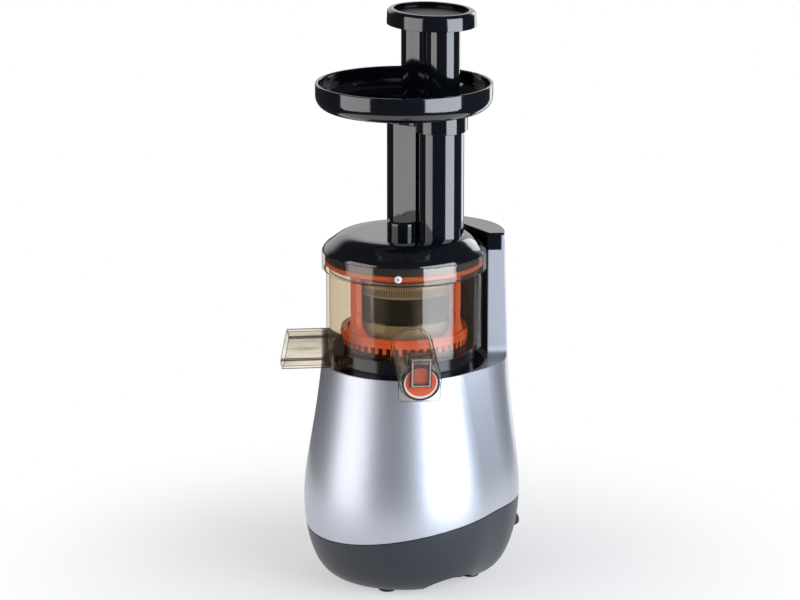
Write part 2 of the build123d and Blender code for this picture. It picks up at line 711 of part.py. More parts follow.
SHAFT_TOP_Z = 232.0
HEX_CLEARANCE = 0.25
SKIRT_R = 24.4  # foot of the screw, through the strainer's hole
SKIRT_BORE_R = HUB_R + 1.6
SOCKET_Z = 206.0
SOCKET_R = 8.0
PINION_R = (SCREW_TEETH + PINION_TEETH) * GEAR_MODULE / 2  # from the screw's axis
PINION_AXIS = Plane.XY.rotated((0, 0, PINION_TURN))

with BuildPart() as output_shaft:
    with BuildSketch(COLUMN.offset(SLOW_Z + WHEEL_WIDTH - 1.0)):
        Circle(OUTPUT_SHAFT_R)
    extrude(amount=LEDGE_Z + 16.0 - SLOW_Z - WHEEL_WIDTH)
    with BuildSketch(COLUMN.offset(LEDGE_Z + 15.0)):
        RegularPolygon(SHAFT_HEX / 2, 6)
    extrude(amount=SHAFT_TOP_Z - LEDGE_Z - 15.0)
    chamfer(output_shaft.faces().sort_by(Axis.Z)[-1].edges(), 0.8)
save(output_shaft, "output_shaft")

with BuildPart() as output_wheel:
    with BuildSketch(COLUMN.offset(SLOW_Z)):
        gear_outline(OUTPUT_TEETH, SLOW_MODULE, turn=180 / OUTPUT_TEETH)
    extrude(amount=WHEEL_WIDTH)
    with BuildSketch(COLUMN.offset(SLOW_Z + WHEEL_WIDTH - 1.0)):
        Circle(OUTPUT_SHAFT_R)
    extrude(amount=20, mode=Mode.SUBTRACT)
save(output_wheel, "output_wheel")

with BuildPart() as screw:
    # conical core on a skirt, with the upper pin
    with BuildSketch(Plane.XZ):
        with BuildLine():
            Polyline(
                (0, GEAR_Z + GEAR_WIDTH),
                (SKIRT_R, GEAR_Z + GEAR_WIDTH),
                (SKIRT_R, STRAINER_Z + 2.4),
                (33.5, STRAINER_Z + 2.4),
                (33.5, STRAINER_Z + 4.6),
            )
            flank = ThreePointArc((33.5, STRAINER_Z + 4.6), (18.5, 214.0), (13.5, 243.0))
            Polyline(
                flank @ 1,
                (11.0, 251.0),
                (PIN_R, 251.0),
                (PIN_R, 271.0),
                (PIN_R - 1.5, 272.5),
                (0, 272.5),
                (0, GEAR_Z + GEAR_WIDTH),
            )
        make_face()
    revolve(axis=Axis.Z)
    # two helical flights
    for start in (0, 180):
        path = Edge.make_helix(FLIGHT_PITCH, FLIGHT_HEIGHT, FLIGHT_MEAN_R)
        path = path.moved(Location((0, 0, FLIGHT_Z), (0, 0, start)))
        outwards = path @ 0 - Vector(0, 0, FLIGHT_Z)
        with BuildSketch(Plane(origin=path @ 0, x_dir=outwards, z_dir=path % 0)):
            crest = FLIGHT_R - FLIGHT_MEAN_R
            Polygon((-12.5, -3.0), (crest, -1.3), (crest, 1.3), (-12.5, 3.0))
        sweep(path=path, is_frenet=True)
    # bore for the drum's hub, and above it for the steel socket
    with BuildSketch(Plane.XY.offset(GEAR_Z)):
        Circle(SKIRT_BORE_R)
    extrude(amount=SOCKET_Z - GEAR_Z, mode=Mode.SUBTRACT)
    with BuildSketch(Plane.XY.offset(SOCKET_Z)):
        Circle(SOCKET_R)
    extrude(amount=SHAFT_TOP_Z + 1.5 - SOCKET_Z, mode=Mode.SUBTRACT)
save(screw, "screw")

with BuildPart() as screw_gear:
    with BuildSketch(PINION_AXIS.offset(GEAR_Z)):
        gear_outline(SCREW_TEETH, GEAR_MODULE, turn=180 / SCREW_TEETH)
        Circle(SKIRT_BORE_R, mode=Mode.SUBTRACT)
    extrude(amount=GEAR_WIDTH)
save(screw_gear, "screw_gear")

with BuildPart() as screw_insert:  # steel socket that takes the hexagon of the shaft
    with BuildSketch(COLUMN.offset(SOCKET_Z)):
        Circle(SOCKET_R)
        RegularPolygon(SHAFT_HEX / 2 + HEX_CLEARANCE, 6, mode=Mode.SUBTRACT)
    extrude(amount=SHAFT_TOP_Z + 1.5 - SOCKET_Z)
save(screw_insert, "screw_insert")

# ------------------------------------------------------------------ drum

PINION_POST_R = 3.0
FLOOR_TOP_Z = DRUM_FLOOR_Z + DRUM_FLOOR
SEAT_TOP_Z = LEDGE_Z + SEAT_THICKNESS
PULP_TURN = 215.0
DUCT_HEIGHT = DUCT_TOP_Z - DUCT_BOTTOM_Z
CHANNEL_MIDDLE = (DUCT_CHANNEL_X[0] + DUCT_CHANNEL_X[1]) / 2
CHANNEL_LENGTH = DUCT_CHANNEL_X[1] - DUCT_CHANNEL_X[0]

with BuildPart() as duct_space:  # inside of the pulp duct
    with BuildSketch(Plane.YZ.offset(-100)):
        with Locations((DUCT_Y, (DUCT_BOTTOM_Z + DUCT_TOP_Z) / 2)):
            RectangleRounded(
                DUCT_WIDTH - 2 * DUCT_WALL,
                DUCT_HEIGHT - 2 * DUCT_WALL,
                min(DUCT_CORNER_R, DUCT_HEIGHT / 2 - 0.1) - DUCT_WALL,
            )
    extrude(amount=60)
    with BuildSketch(Plane.XY.offset(DRUM_FLOOR_Z)):
        Circle(DRUM_R)
    extrude(amount=40, mode=Mode.SUBTRACT)
    with BuildSketch(Plane.XY.offset(DUCT_BOTTOM_Z + DUCT_WALL)):
        with Locations((CHANNEL_MIDDLE - DUCT_WALL, DUCT_Y)):
            Rectangle(CHANNEL_LENGTH, DUCT_WIDTH - 2 * DUCT_WALL)
    extrude(amount=DRUM_FLOOR_Z - DUCT_BOTTOM_Z - DUCT_WALL)

with BuildPart() as spout_bore:  # inside of the juice spout, with a sill at the floor
    with BuildSketch(SPOUT):
        Circle(SPOUT_R - SPOUT_WALL)
    extrude(amount=SPOUT_LENGTH)
    with BuildSketch(Plane.XY.offset(150)):
        Circle(DRUM_R)
    extrude(amount=FLOOR_TOP_Z - 150, mode=Mode.SUBTRACT)

with BuildPart() as juice_spout:
    with BuildSketch(SPOUT):
        Circle(SPOUT_R)
    extrude(amount=SPOUT_LENGTH)
    with BuildSketch(SPOUT.offset(SPOUT_LENGTH - 4.5)):  # guard below the mouth
        with Locations((0, -7.0)):
            RectangleRounded(2 * SPOUT_R, 22.5, 4.0)
    extrude(amount=2.0)
    with BuildSketch(SPOUT.offset(EAR_Z - 3.0)):  # ears of the flap's hinge
        with Locations((9.8, EAR_Y - 2.2), (-9.8, EAR_Y - 2.2)):
            Rectangle(2.2, 9.6)
    extrude(amount=6.0)
    with BuildSketch(Plane.XY.offset(150)):
        Circle(DRUM_R)
    extrude(amount=100, mode=Mode.SUBTRACT)
    add(spout_bore.part, mode=Mode.SUBTRACT)
    with BuildSketch(EAR_AXIS):
        Circle(EAR_PIN_R)
    extrude(amount=20, both=True, mode=Mode.SUBTRACT)
save(juice_spout, "juice_spout")

with BuildPart() as pulp_channel:  # closed from above by the drum's floor
    with BuildSketch(Plane.XY.offset(DUCT_BOTTOM_Z)):
        with Locations((CHANNEL_MIDDLE, DUCT_Y)):
            Rectangle(CHANNEL_LENGTH, DUCT_WIDTH)
    extrude(amount=DRUM_FLOOR_Z - DUCT_BOTTOM_Z)
    add(duct_space.part, mode=Mode.SUBTRACT)
save(pulp_channel, "pulp_channel")

with BuildPart() as pulp_spout:
    with BuildSketch(Plane.YZ.offset(-100)):
        with Locations((DUCT_Y, (DUCT_BOTTOM_Z + DUCT_TOP_Z) / 2)):
            RectangleRounded(DUCT_WIDTH, DUCT_HEIGHT, min(DUCT_CORNER_R, DUCT_HEIGHT / 2 - 0.1))
    extrude(amount=60)
    with BuildSketch(Plane.XY.offset(DRUM_FLOOR_Z)):
        Circle(DRUM_R)
    extrude(amount=40, mode=Mode.SUBTRACT)
    with BuildSketch(Plane.XY.offset(DUCT_BOTTOM_Z - 5)):
        with Locations((CHANNEL_MIDDLE, DUCT_Y)):
            Rectangle(CHANNEL_LENGTH, 2 * DUCT_WIDTH)
    extrude(amount=DRUM_FLOOR_Z - DUCT_BOTTOM_Z + 5, mode=Mode.SUBTRACT)
    add(duct_space.part, mode=Mode.SUBTRACT)
    with BuildSketch(Plane.XZ):  # slanted mouth
        Polygon(
            (DUCT_END_X, DUCT_BOTTOM_Z),
            (DUCT_END_X + DUCT_HEIGHT * 0.2, DUCT_TOP_Z),
            (DUCT_END_X - 10, DUCT_TOP_Z),
            (DUCT_END_X - 10, DUCT_BOTTOM_Z),
        )
    extrude(amount=60, both=True, mode=Mode.SUBTRACT)
save(pulp_spout, "pulp_spout")

with BuildPart() as drum:
    with BuildSketch(Plane.XZ):
        with BuildLine():
            Polyline(
                (HUB_R - 3.0, DRUM_FLOOR_Z),
                (FOOT_RING_R - 2.4, DRUM_FLOOR_Z),
                (FOOT_RING_R - 2.4, SEAT_TOP_Z),
                (FOOT_RING_R, SEAT_TOP_Z),
                (FOOT_RING_R, DRUM_FLOOR_Z),
                (DRUM_R, DRUM_FLOOR_Z),
                (DRUM_R, RING_Z - 1.6),
                (RING_R, RING_Z),
                (RING_R, DRUM_TOP_Z),
                (RING_R - DRUM_WALL, DRUM_TOP_Z),
                (RING_R - DRUM_WALL, RING_Z + 3.0),
                (DRUM_R - DRUM_WALL, RING_Z + 1.0),
                (DRUM_R - DRUM_WALL, FLOOR_TOP_Z),
                (HUB_R, FLOOR_TOP_Z),
                (HUB_R, 203.0),
                (HUB_R - 3.0, 203.0),
                close=True,
            )
        make_face()
    revolve(axis=Axis.Z)
    # seat of the strainer, open round the pinion
    with BuildSketch(Plane.XY.offset(FLOOR_TOP_Z)):
        Circle(31.0)
        Circle(28.0, mode=Mode.SUBTRACT)
        with Locations(PINION_AXIS.from_local_coords((PINION_R, 0, 0))):
            Circle(PINION_TEETH * GEAR_MODULE / 2 + GEAR_MODULE + 1.0, mode=Mode.SUBTRACT)
    extrude(amount=STRAINER_Z - FLOOR_TOP_Z)
    with BuildSketch(Plane.XY.offset(FLOOR_TOP_Z)):
        Circle(37.6)
        Circle(26.0, mode=Mode.SUBTRACT)
        wedge(18.0, turn=PULP_TURN)
    extrude(amount=STRAINER_Z - FLOOR_TOP_Z)
    # post of the pinion
    with BuildSketch(PINION_AXIS.offset(FLOOR_TOP_Z)):
        with Locations((PINION_R, 0)):
            Circle(PINION_POST_R)
    extrude(amount=GEAR_Z + GEAR_WIDTH - FLOOR_TOP_Z)
    # the foot ring lets the pulp channel through
    with BuildSketch(Plane.XY.offset(SEAT_TOP_Z)):
        with Locations((CHANNEL_MIDDLE, DUCT_Y)):
            Rectangle(CHANNEL_LENGTH, DUCT_WIDTH)
    extrude(amount=DRUM_FLOOR_Z - SEAT_TOP_Z, mode=Mode.SUBTRACT)
    # hole of the juice spout in the wall and hole for the pulp in the floor
    add(spout_bore.part, mode=Mode.SUBTRACT)
    with BuildSketch(Plane.XY.offset(DRUM_FLOOR_Z)):
        Circle(36.0)
        Circle(27.5, mode=Mode.SUBTRACT)
        wedge(15.0, turn=PULP_TURN)
    extrude(amount=20, mode=Mode.SUBTRACT)
save(drum, "drum")

with BuildPart() as drum_seal:  # silicone ring on the drum's hub, round the shaft
    with BuildSketch(COLUMN.offset(203.0)):
        Circle(HUB_R)
        Circle(SHAFT_HEX / 2 + SLIDE, mode=Mode.SUBTRACT)
    extrude(amount=2.0)
save(drum_seal, "drum_seal")

PINION_CENTRE = Plane(
    origin=PINION_AXIS.from_local_coords((PINION_R, 0, 0)),
    x_dir=PINION_AXIS.x_dir,
    z_dir=(0, 0, 1),
)

with BuildPart() as pinion:  # turns on the drum's post, between the screw and the brush
    with BuildSketch(PINION_CENTRE.offset(GEAR_Z)):
        gear_outline(PINION_TEETH, GEAR_MODULE)
        Circle(PINION_POST_R + RUN, mode=Mode.SUBTRACT)
    extrude(amount=GEAR_WIDTH - 0.2)
    with BuildSketch(PINION_CENTRE.offset(FLOOR_TOP_Z)):
        Circle(5.0)
        Circle(PINION_POST_R + RUN, mode=Mode.SUBTRACT)
    extrude(amount=GEAR_Z - FLOOR_TOP_Z)
save(pinion, "pinion")

# ------------------------------------------------------------------ strainer and brush

with BuildPart() as strainer_frame:
    with BuildSketch(Plane.XZ):
        with BuildLine():
            Polyline(
                (25.6, STRAINER_Z),
                (STRAINER_R, STRAINER_Z),
                (STRAINER_R, MESH_Z),
                (STRAINER_R - STRAINER_WALL, MESH_Z),
                (STRAINER_R - STRAINER_WALL, STRAINER_Z + 2.0),
                (25.6, STRAINER_Z + 2.0),
                close=True,
            )
            Polyline(
                (STRAINER_R - STRAINER_WALL, MESH_TOP_Z),
                (STRAINER_R, MESH_TOP_Z),
                (STRAINER_R, STRAINER_TOP_Z - 2.5),
                (STRAINER_R + 1.4, STRAINER_TOP_Z - 2.5),
                (STRAINER_R + 1.4, STRAINER_TOP_Z),
                (STRAINER_R - STRAINER_WALL, STRAINER_TOP_Z),
                close=True,
            )
        make_face()
    revolve(axis=Axis.Z)
    with BuildSketch(Plane.XY.offset(MESH_Z)):
        with PolarLocations(STRAINER_R - 0.4, 8):
            Rectangle(0.8, 3.0)
    extrude(amount=MESH_TOP_Z - MESH_Z)
    with BuildSketch(Plane.XY.offset(STRAINER_Z)):
        Circle(36.0)
        Circle(27.5, mode=Mode.SUBTRACT)
        wedge(15.0, turn=PULP_TURN)
    extrude(amount=2.0, mode=Mode.SUBTRACT)
save(strainer_frame, "strainer_frame")

with BuildPart() as strainer_mesh:
    with BuildSketch(Plane.XY.offset(MESH_Z)):
        Circle(STRAINER_R - 0.8)
        Circle(STRAINER_R - STRAINER_WALL, mode=Mode.SUBTRACT)
    extrude(amount=MESH_TOP_Z - MESH_Z)
save(strainer_mesh, "strainer_mesh")

with BuildPart() as brush_arms:  # three curved arms, wider towards the foot
    for turn in ARM_TURNS:
        outwards = Vector(cos(radians(turn)), sin(radians(turn)), 0)
        across = Vector(-sin(radians(turn)), cos(radians(turn)), 0)
        with BuildSketch(Plane(origin=(0, 0, 0), x_dir=across, z_dir=outwards)):
            with BuildLine():
                left = ThreePointArc((-16.0, 195.6), (-7.4, 200.0), (-4.4, 214.0))
                right = ThreePointArc((16.0, 195.6), (7.4, 200.0), (4.4, 214.0))
                Polyline(left @ 1, (-4.0, 244.0), (4.0, 244.0), right @ 1)
                Polyline(left @ 0, (-16.0, 194.4), (16.0, 194.4), right @ 0)
            make_face()
        extrude(amount=BRUSH_R)
    with BuildSketch(Plane.XY.offset(190)):
        Circle(45.6)
        Circle(41.2, mode=Mode.SUBTRACT)
    extrude(amount=60, mode=Mode.INTERSECT)

with BuildPart() as brush_frame:
    # toothed ring at the foot and plain ring at the top
    with BuildSketch(PINION_AXIS.offset(FLOOR_TOP_Z)):
        Circle(BRUSH_R)
        Circle(BRUSH_TOOTH_R, mode=Mode.SUBTRACT)
        with PolarLocations((BRUSH_R + BRUSH_TOOTH_R) / 2, BRUSH_TEETH):
            Rectangle(2 * (BRUSH_R - BRUSH_TOOTH_R), BRUSH_GAP, mode=Mode.SUBTRACT)
    extrude(amount=GEAR_Z + GEAR_WIDTH - FLOOR_TOP_Z)
    with BuildSketch(Plane.XY.offset(GEAR_Z + GEAR_WIDTH)):
        Circle(BRUSH_R)
        Circle(BRUSH_TOOTH_R, mode=Mode.SUBTRACT)
    extrude(amount=2.6)
    with BuildSketch(Plane.XY.offset(242.0)):
        Circle(BRUSH_TOP_R)
        Circle(44.2, mode=Mode.SUBTRACT)
    extrude(amount=9.0)
    add(brush_arms.part)
save(brush_frame, "brush_frame")

with BuildPart() as brush_wipers:
    for turn in ARM_TURNS:
        with BuildSketch(Plane.XY.rotated((0, 0, turn)).offset(199.0)):
            with Locations(((STRAINER_R + SLIDE + 41.2) / 2, 0)):
                Rectangle(41.2 - STRAINER_R - SLIDE, 1.6)
        extrude(amount=34.0)
save(brush_wipers, "brush_wipers")

# ------------------------------------------------------------------ flap of the juice spout

SEAL_THICKNESS = 3.0
FLAP_THICKNESS = 2.6
FLAP_OUT = SPOUT_LENGTH + SLIDE + SEAL_THICKNESS - EAR_Z  # from the pin to the flap
with BuildPart() as juice_flap:
    with BuildSketch(EAR_AXIS):
        Circle(2.7)
        with Locations((FLAP_OUT / 2, 0.6)):
            Rectangle(FLAP_OUT, 4.2)
        with Locations((FLAP_OUT + FLAP_THICKNESS / 2, -12.3)):
            Rectangle(FLAP_THICKNESS, 30.0)
        Circle(EAR_PIN_R + RUN, mode=Mode.SUBTRACT)
    extrude(amount=7.8, both=True)
save(juice_flap, "juice_flap")

with BuildPart() as juice_seal:
    with BuildSketch(SPOUT.offset(SPOUT_LENGTH + SLIDE)):
        Circle(SPOUT_R - 1.85)
    extrude(amount=SEAL_THICKNESS)
save(juice_seal, "juice_seal")

with BuildPart() as flap_pin:
    with BuildSketch(EAR_AXIS):
        Circle(EAR_PIN_R)
    extrude(amount=10.9, both=True)
save(flap_pin, "flap_pin")

# ------------------------------------------------------------------ lid, bowl and pusher

STEM_Z = 267.4
with BuildPart() as lid:
    with BuildSketch(Plane.XZ):
        with BuildLine():
            Polyline(
                (0, BOSS_TOP_Z),
                (BOSS_R - 1.5, BOSS_TOP_Z),
                (BOSS_R, BOSS_TOP_Z - 1.5),
                (BOSS_R, LID_TOP_Z),
                (34.0, LID_TOP_Z),
            )
            crown = Spline(
                (34.0, LID_TOP_Z),
                (49.0, 267.0),
                (57.0, 261.4),
                (LID_R, DRUM_TOP_Z + 0.8),
                tangents=((1, 0), (0.35, -1)),
            )
            Polyline(
                crown @ 1,
                (LID_R, DRUM_TOP_Z),
                (RING_R - DRUM_WALL - SLIDE, DRUM_TOP_Z),
                (RING_R - DRUM_WALL - SLIDE, 249.0),
                (RING_R - 2 * DRUM_WALL - SLIDE, 249.0),
                (RING_R - 2 * DRUM_WALL - SLIDE, DRUM_TOP_Z),
            )
            inner = Spline(
                (RING_R - 2 * DRUM_WALL - SLIDE, DRUM_TOP_Z),
                (54.5, 260.2),
                (47.5, 264.7),
                (34.0, LID_TOP_Z - LID_WALL),
                tangents=((-0.4, 1), (-1, 0)),
            )
            Polyline(
                inner @ 1,
                (PIN_R + 2.6, LID_TOP_Z - LID_WALL),
                (PIN_R + 2.6, 260.0),
                (PIN_R + 0.07, 260.0),
                (PIN_R + 0.07, 273.4),
                (0, 273.4),
                (0, BOSS_TOP_Z),
            )
        make_face()
    revolve(axis=Axis.Z)
    with BuildSketch(COLUMN.offset(266.4)):
        kidney(CHUTE_HALF_ANGLE, CHUTE_HALF_WIDTH)
    extrude(amount=CHUTE_TOP_Z - 266.4)
    with BuildSketch(COLUMN.offset(STEM_Z)):
        kidney(CHUTE_HALF_ANGLE, CHUTE_HALF_WIDTH - CHUTE_WALL)
    extrude(amount=100, mode=Mode.SUBTRACT)
    with BuildSketch(COLUMN.offset(250)):
        kidney(CHUTE_HALF_ANGLE, CHUTE_HALF_WIDTH - CHUTE_WALL - 2.2)
    extrude(amount=30, mode=Mode.SUBTRACT)
    with BuildSketch(COLUMN.offset(TAB_Z)):
        Circle(TAB_R)
        Circle(LID_R - 1.6, mode=Mode.SUBTRACT)
        wedge(9.0, turn=13.0)
    extrude(amount=TAB_THICKNESS)
save(lid, "lid")

with BuildPart() as feed_bowl:
    with BuildSketch(Plane.XZ):
        with BuildLine():
            Polyline((0, CHUTE_TOP_Z), (42.0, CHUTE_TOP_Z), (BOWL_R - 9.0, CHUTE_TOP_Z + 2.2))
            turn_out = TangentArc(
                (BOWL_R - 9.0, CHUTE_TOP_Z + 2.2), (BOWL_R, CHUTE_TOP_Z + 12.0), tangent=(1, 0.15)
            )
            Polyline(
                turn_out @ 1,
                (BOWL_R, BOWL_RIM_Z),
                (BOWL_R - BOWL_WALL, BOWL_RIM_Z),
                (BOWL_R - BOWL_WALL, CHUTE_TOP_Z + 12.5),
            )
            turn_in = TangentArc(
                (BOWL_R - 10.0, CHUTE_TOP_Z + 4.6), (BOWL_R - BOWL_WALL, CHUTE_TOP_Z + 12.5),
                tangent=(1, 0.15),
            )
            Polyline(
                turn_in @ 0,
                (42.0, CHUTE_TOP_Z + BOWL_WALL),
                (0, CHUTE_TOP_Z + BOWL_WALL),
                (0, CHUTE_TOP_Z),
            )
        make_face()
    revolve(axis=Axis.Z)
    fillet(feed_bowl.edges().group_by(Axis.Z)[-1], 0.9)
    with BuildSketch(COLUMN.offset(SLEEVE_Z)):
        kidney(CHUTE_HALF_ANGLE, CHUTE_HALF_WIDTH + SLIDE + SLEEVE_WALL)
    extrude(amount=CHUTE_TOP_Z - SLEEVE_Z + 1.0)
    with BuildSketch(COLUMN.offset(SLEEVE_Z)):
        kidney(CHUTE_HALF_ANGLE, CHUTE_HALF_WIDTH + SLIDE)
    extrude(amount=CHUTE_TOP_Z - SLEEVE_Z, mode=Mode.SUBTRACT)
    with BuildSketch(COLUMN.offset(SLEEVE_Z)):
        kidney(CHUTE_HALF_ANGLE, CHUTE_HALF_WIDTH - CHUTE_WALL)
    extrude(amount=30, mode=Mode.SUBTRACT)
save(feed_bowl, "feed_bowl")

with BuildPart() as pusher:
    with BuildSketch(COLUMN.offset(PUSHER_CAP_Z)):
        with Locations((PUSHER_CAP_OFFSET, 0)):
            Ellipse(PUSHER_CAP_WIDTH / 2, PUSHER_CAP_LENGTH / 2)
    extrude(amount=PUSHER_TOP_Z - PUSHER_CAP_Z)
    fillet(pusher.edges().group_by(Axis.Z)[-1], 2.5)
    with BuildSketch(COLUMN.offset(PUSHER_CAP_Z)):
        with Locations((PUSHER_CAP_OFFSET, 0)):
            Ellipse(PUSHER_CAP_WIDTH / 2 - 2.2, PUSHER_CAP_LENGTH / 2 - 2.2)
    extrude(amount=8.0, mode=Mode.SUBTRACT)
    with BuildSketch(COLUMN.offset(PUSHER_TOP_Z - 3.5)):
        with Locations((PUSHER_CAP_OFFSET, 0)):
            Ellipse(PUSHER_CAP_WIDTH / 2 - 4.5, PUSHER_CAP_LENGTH / 2 - 4.5)
    extrude(amount=8.0, mode=Mode.SUBTRACT)
    with BuildSketch(COLUMN.offset(STEM_Z)):
        kidney(STEM_HALF_ANGLE, STEM_HALF_WIDTH)
    extrude(amount=PUSHER_CAP_Z + 8.5 - STEM_Z)
    with BuildSketch(COLUMN.offset(STEM_Z)):
        kidney(STEM_HALF_ANGLE, STEM_HALF_WIDTH - 2.2)
    extrude(amount=PUSHER_CAP_Z + 6.0 - STEM_Z, mode=Mode.SUBTRACT)
save(pusher, "pusher")

# ------------------------------------------------------------------ electrics

with BuildPart() as control_board:
    with BuildSketch(COLUMN.offset(BOARD_Z)):
        with Locations((REAR_OFFSET / 2, 0)):
            Rectangle(*BOARD_SIZE)
    extrude(amount=1.6)
    with BuildSketch(COLUMN.offset(BOARD_Z + 1.6)):
        with Locations((REAR_OFFSET / 2 - 12, 10)):
            Circle(8)
        with Locations((REAR_OFFSET / 2 + 14, 8)):
            Rectangle(16, 12)
        with Locations((REAR_OFFSET / 2 + 4, -12)):
            Rectangle(28, 10)
    extrude(amount=15)
save(control_board, "control_board")
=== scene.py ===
"""Looks of the cold press juicer: finishes for the CAD nodes, the small marks and mouldings
that aren't in the CAD, a pale floor, studio light and the camera. Lengths are in metres.
"""
from math import cos, pi, radians, sin

import bmesh
import bpy
from mathutils import Matrix, Vector

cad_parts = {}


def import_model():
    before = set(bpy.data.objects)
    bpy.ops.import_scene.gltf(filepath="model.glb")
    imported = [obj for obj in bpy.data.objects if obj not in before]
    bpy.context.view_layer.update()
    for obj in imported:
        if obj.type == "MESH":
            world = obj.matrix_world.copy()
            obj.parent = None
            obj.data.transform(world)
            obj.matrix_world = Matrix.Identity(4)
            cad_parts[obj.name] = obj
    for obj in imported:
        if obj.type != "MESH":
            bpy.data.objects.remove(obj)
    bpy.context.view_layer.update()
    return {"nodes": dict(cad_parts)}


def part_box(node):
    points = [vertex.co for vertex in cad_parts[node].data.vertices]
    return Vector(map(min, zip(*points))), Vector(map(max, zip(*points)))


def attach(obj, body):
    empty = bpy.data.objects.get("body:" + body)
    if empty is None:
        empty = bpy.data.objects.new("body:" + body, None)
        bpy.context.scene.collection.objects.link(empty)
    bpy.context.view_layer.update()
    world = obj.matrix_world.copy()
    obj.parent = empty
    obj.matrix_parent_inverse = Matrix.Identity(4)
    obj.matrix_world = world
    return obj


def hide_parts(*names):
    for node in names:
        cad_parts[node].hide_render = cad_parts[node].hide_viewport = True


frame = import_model()
nodes = frame["nodes"]

# Places taken from the CAD's own boxes: the screw axis, the ring round the drum's mouth,
# the rim of the silver shell and the sieve
drum_low, drum_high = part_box("drum")
AXIS = Vector(((drum_low.x + drum_high.x) / 2, (drum_low.y + drum_high.y) / 2, 0))
RING_R = (drum_high.x - drum_low.x) / 2
RIM_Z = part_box("drum_seat")[0].z + 0.004
SIEVE_Z = (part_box("strainer_mesh")[0].z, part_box("strainer_mesh")[1].z)

# Other places on the CAD's pieces
COLUMN_TURN = radians(26.0)  # direction of the column and the pusher from the screw axis
ROOM_R = 0.0634  # hollow of the shell behind the drum
RING_FOOT_Z = 0.2412  # underside of the ring round the drum's mouth
SPOUT_END = 0.0655  # mouth of the juice spout, along its axis
SPOUT_BORE_R = 0.0128
DISC_R = 0.01225  # seal of the juice spout, inside its black rim
LIP_R = 0.0112  # where its pale lip begins, on a circle that lies LIP_LIFT higher
LIP_LIFT = 0.0008
DUCT_Z = (0.1800, 0.1880)  # where the pulp spout's walls turn cloudier upwards
THROAT_X = (-0.0645, -0.0615)  # THROAT_X = (-0.0645, -0.0615) # where painted shade starts in the pulp spout's throat

# Slots in the strainer's rim and holes in its sieve
SLOTS_Z = (0.2275, 0.2325)
SLOTS_ROUND = 130.0  # in a full turn
HOLES_ROUND = 150.0  # in a full turn
HOLES_UP = 1500.0  # radians of their wave in a metre, so a row every 4.2 mm

SHARP = radians(35)  # edges sharper than this stay creased
# Axis of the juice spout: a point on it from the foot of the screw axis, and its fall
SPOUT_ROOT = Vector((0, -0.048, 0.197))
SPOUT_FALL = radians(11.0)
SPOUT_OUT = Vector((0, -cos(SPOUT_FALL), -sin(SPOUT_FALL)))
SPOUT_UP = Vector((0, -sin(SPOUT_FALL), cos(SPOUT_FALL)))


# ------------------------------------------------------------------ finishes


class Number:
    """A number that varies over a surface. Sums and products with it add Math nodes."""

    def __init__(self, finish, socket):
        self.finish = finish
        self.socket = socket

    def math(self, operation, *others):
        values = {0: self.socket}
        for place, other in enumerate(others, start=1):
            values[place] = other.socket if isinstance(other, Number) else other
        made = self.finish.node("ShaderNodeMath", {"operation": operation}, values)
        return Number(self.finish, made.outputs[0])

    def reflected(self, operation, other):
        made = self.finish.node(
            "ShaderNodeMath", {"operation": operation}, {0: other, 1: self.socket}
        )
        return Number(self.finish, made.outputs[0])

    def __add__(self, other):
        return self.math("ADD", other)

    def __radd__(self, other):
        return self.reflected("ADD", other)

    def __sub__(self, other):
        return self.math("SUBTRACT", other)

    def __rsub__(self, other):
        return self.reflected("SUBTRACT", other)

    def __mul__(self, other):
        return self.math("MULTIPLY", other)

    def __rmul__(self, other):
        return self.reflected("MULTIPLY", other)

    def __pow__(self, other):
        return self.math("POWER", other)

    def __gt__(self, other):
        return self.math("GREATER_THAN", other)

    def __lt__(self, other):
        return self.math("LESS_THAN", other)

    def fade(self, start, end):
        """0 at start, 1 at end, and smooth between them."""
        made = self.finish.node(
            "ShaderNodeMapRange",
            {"interpolation_type": "SMOOTHSTEP", "clamp": True},
            {"Value": self.socket, "From Min": start, "From Max": end},
        )
        return Number(self.finish, made.outputs[0])


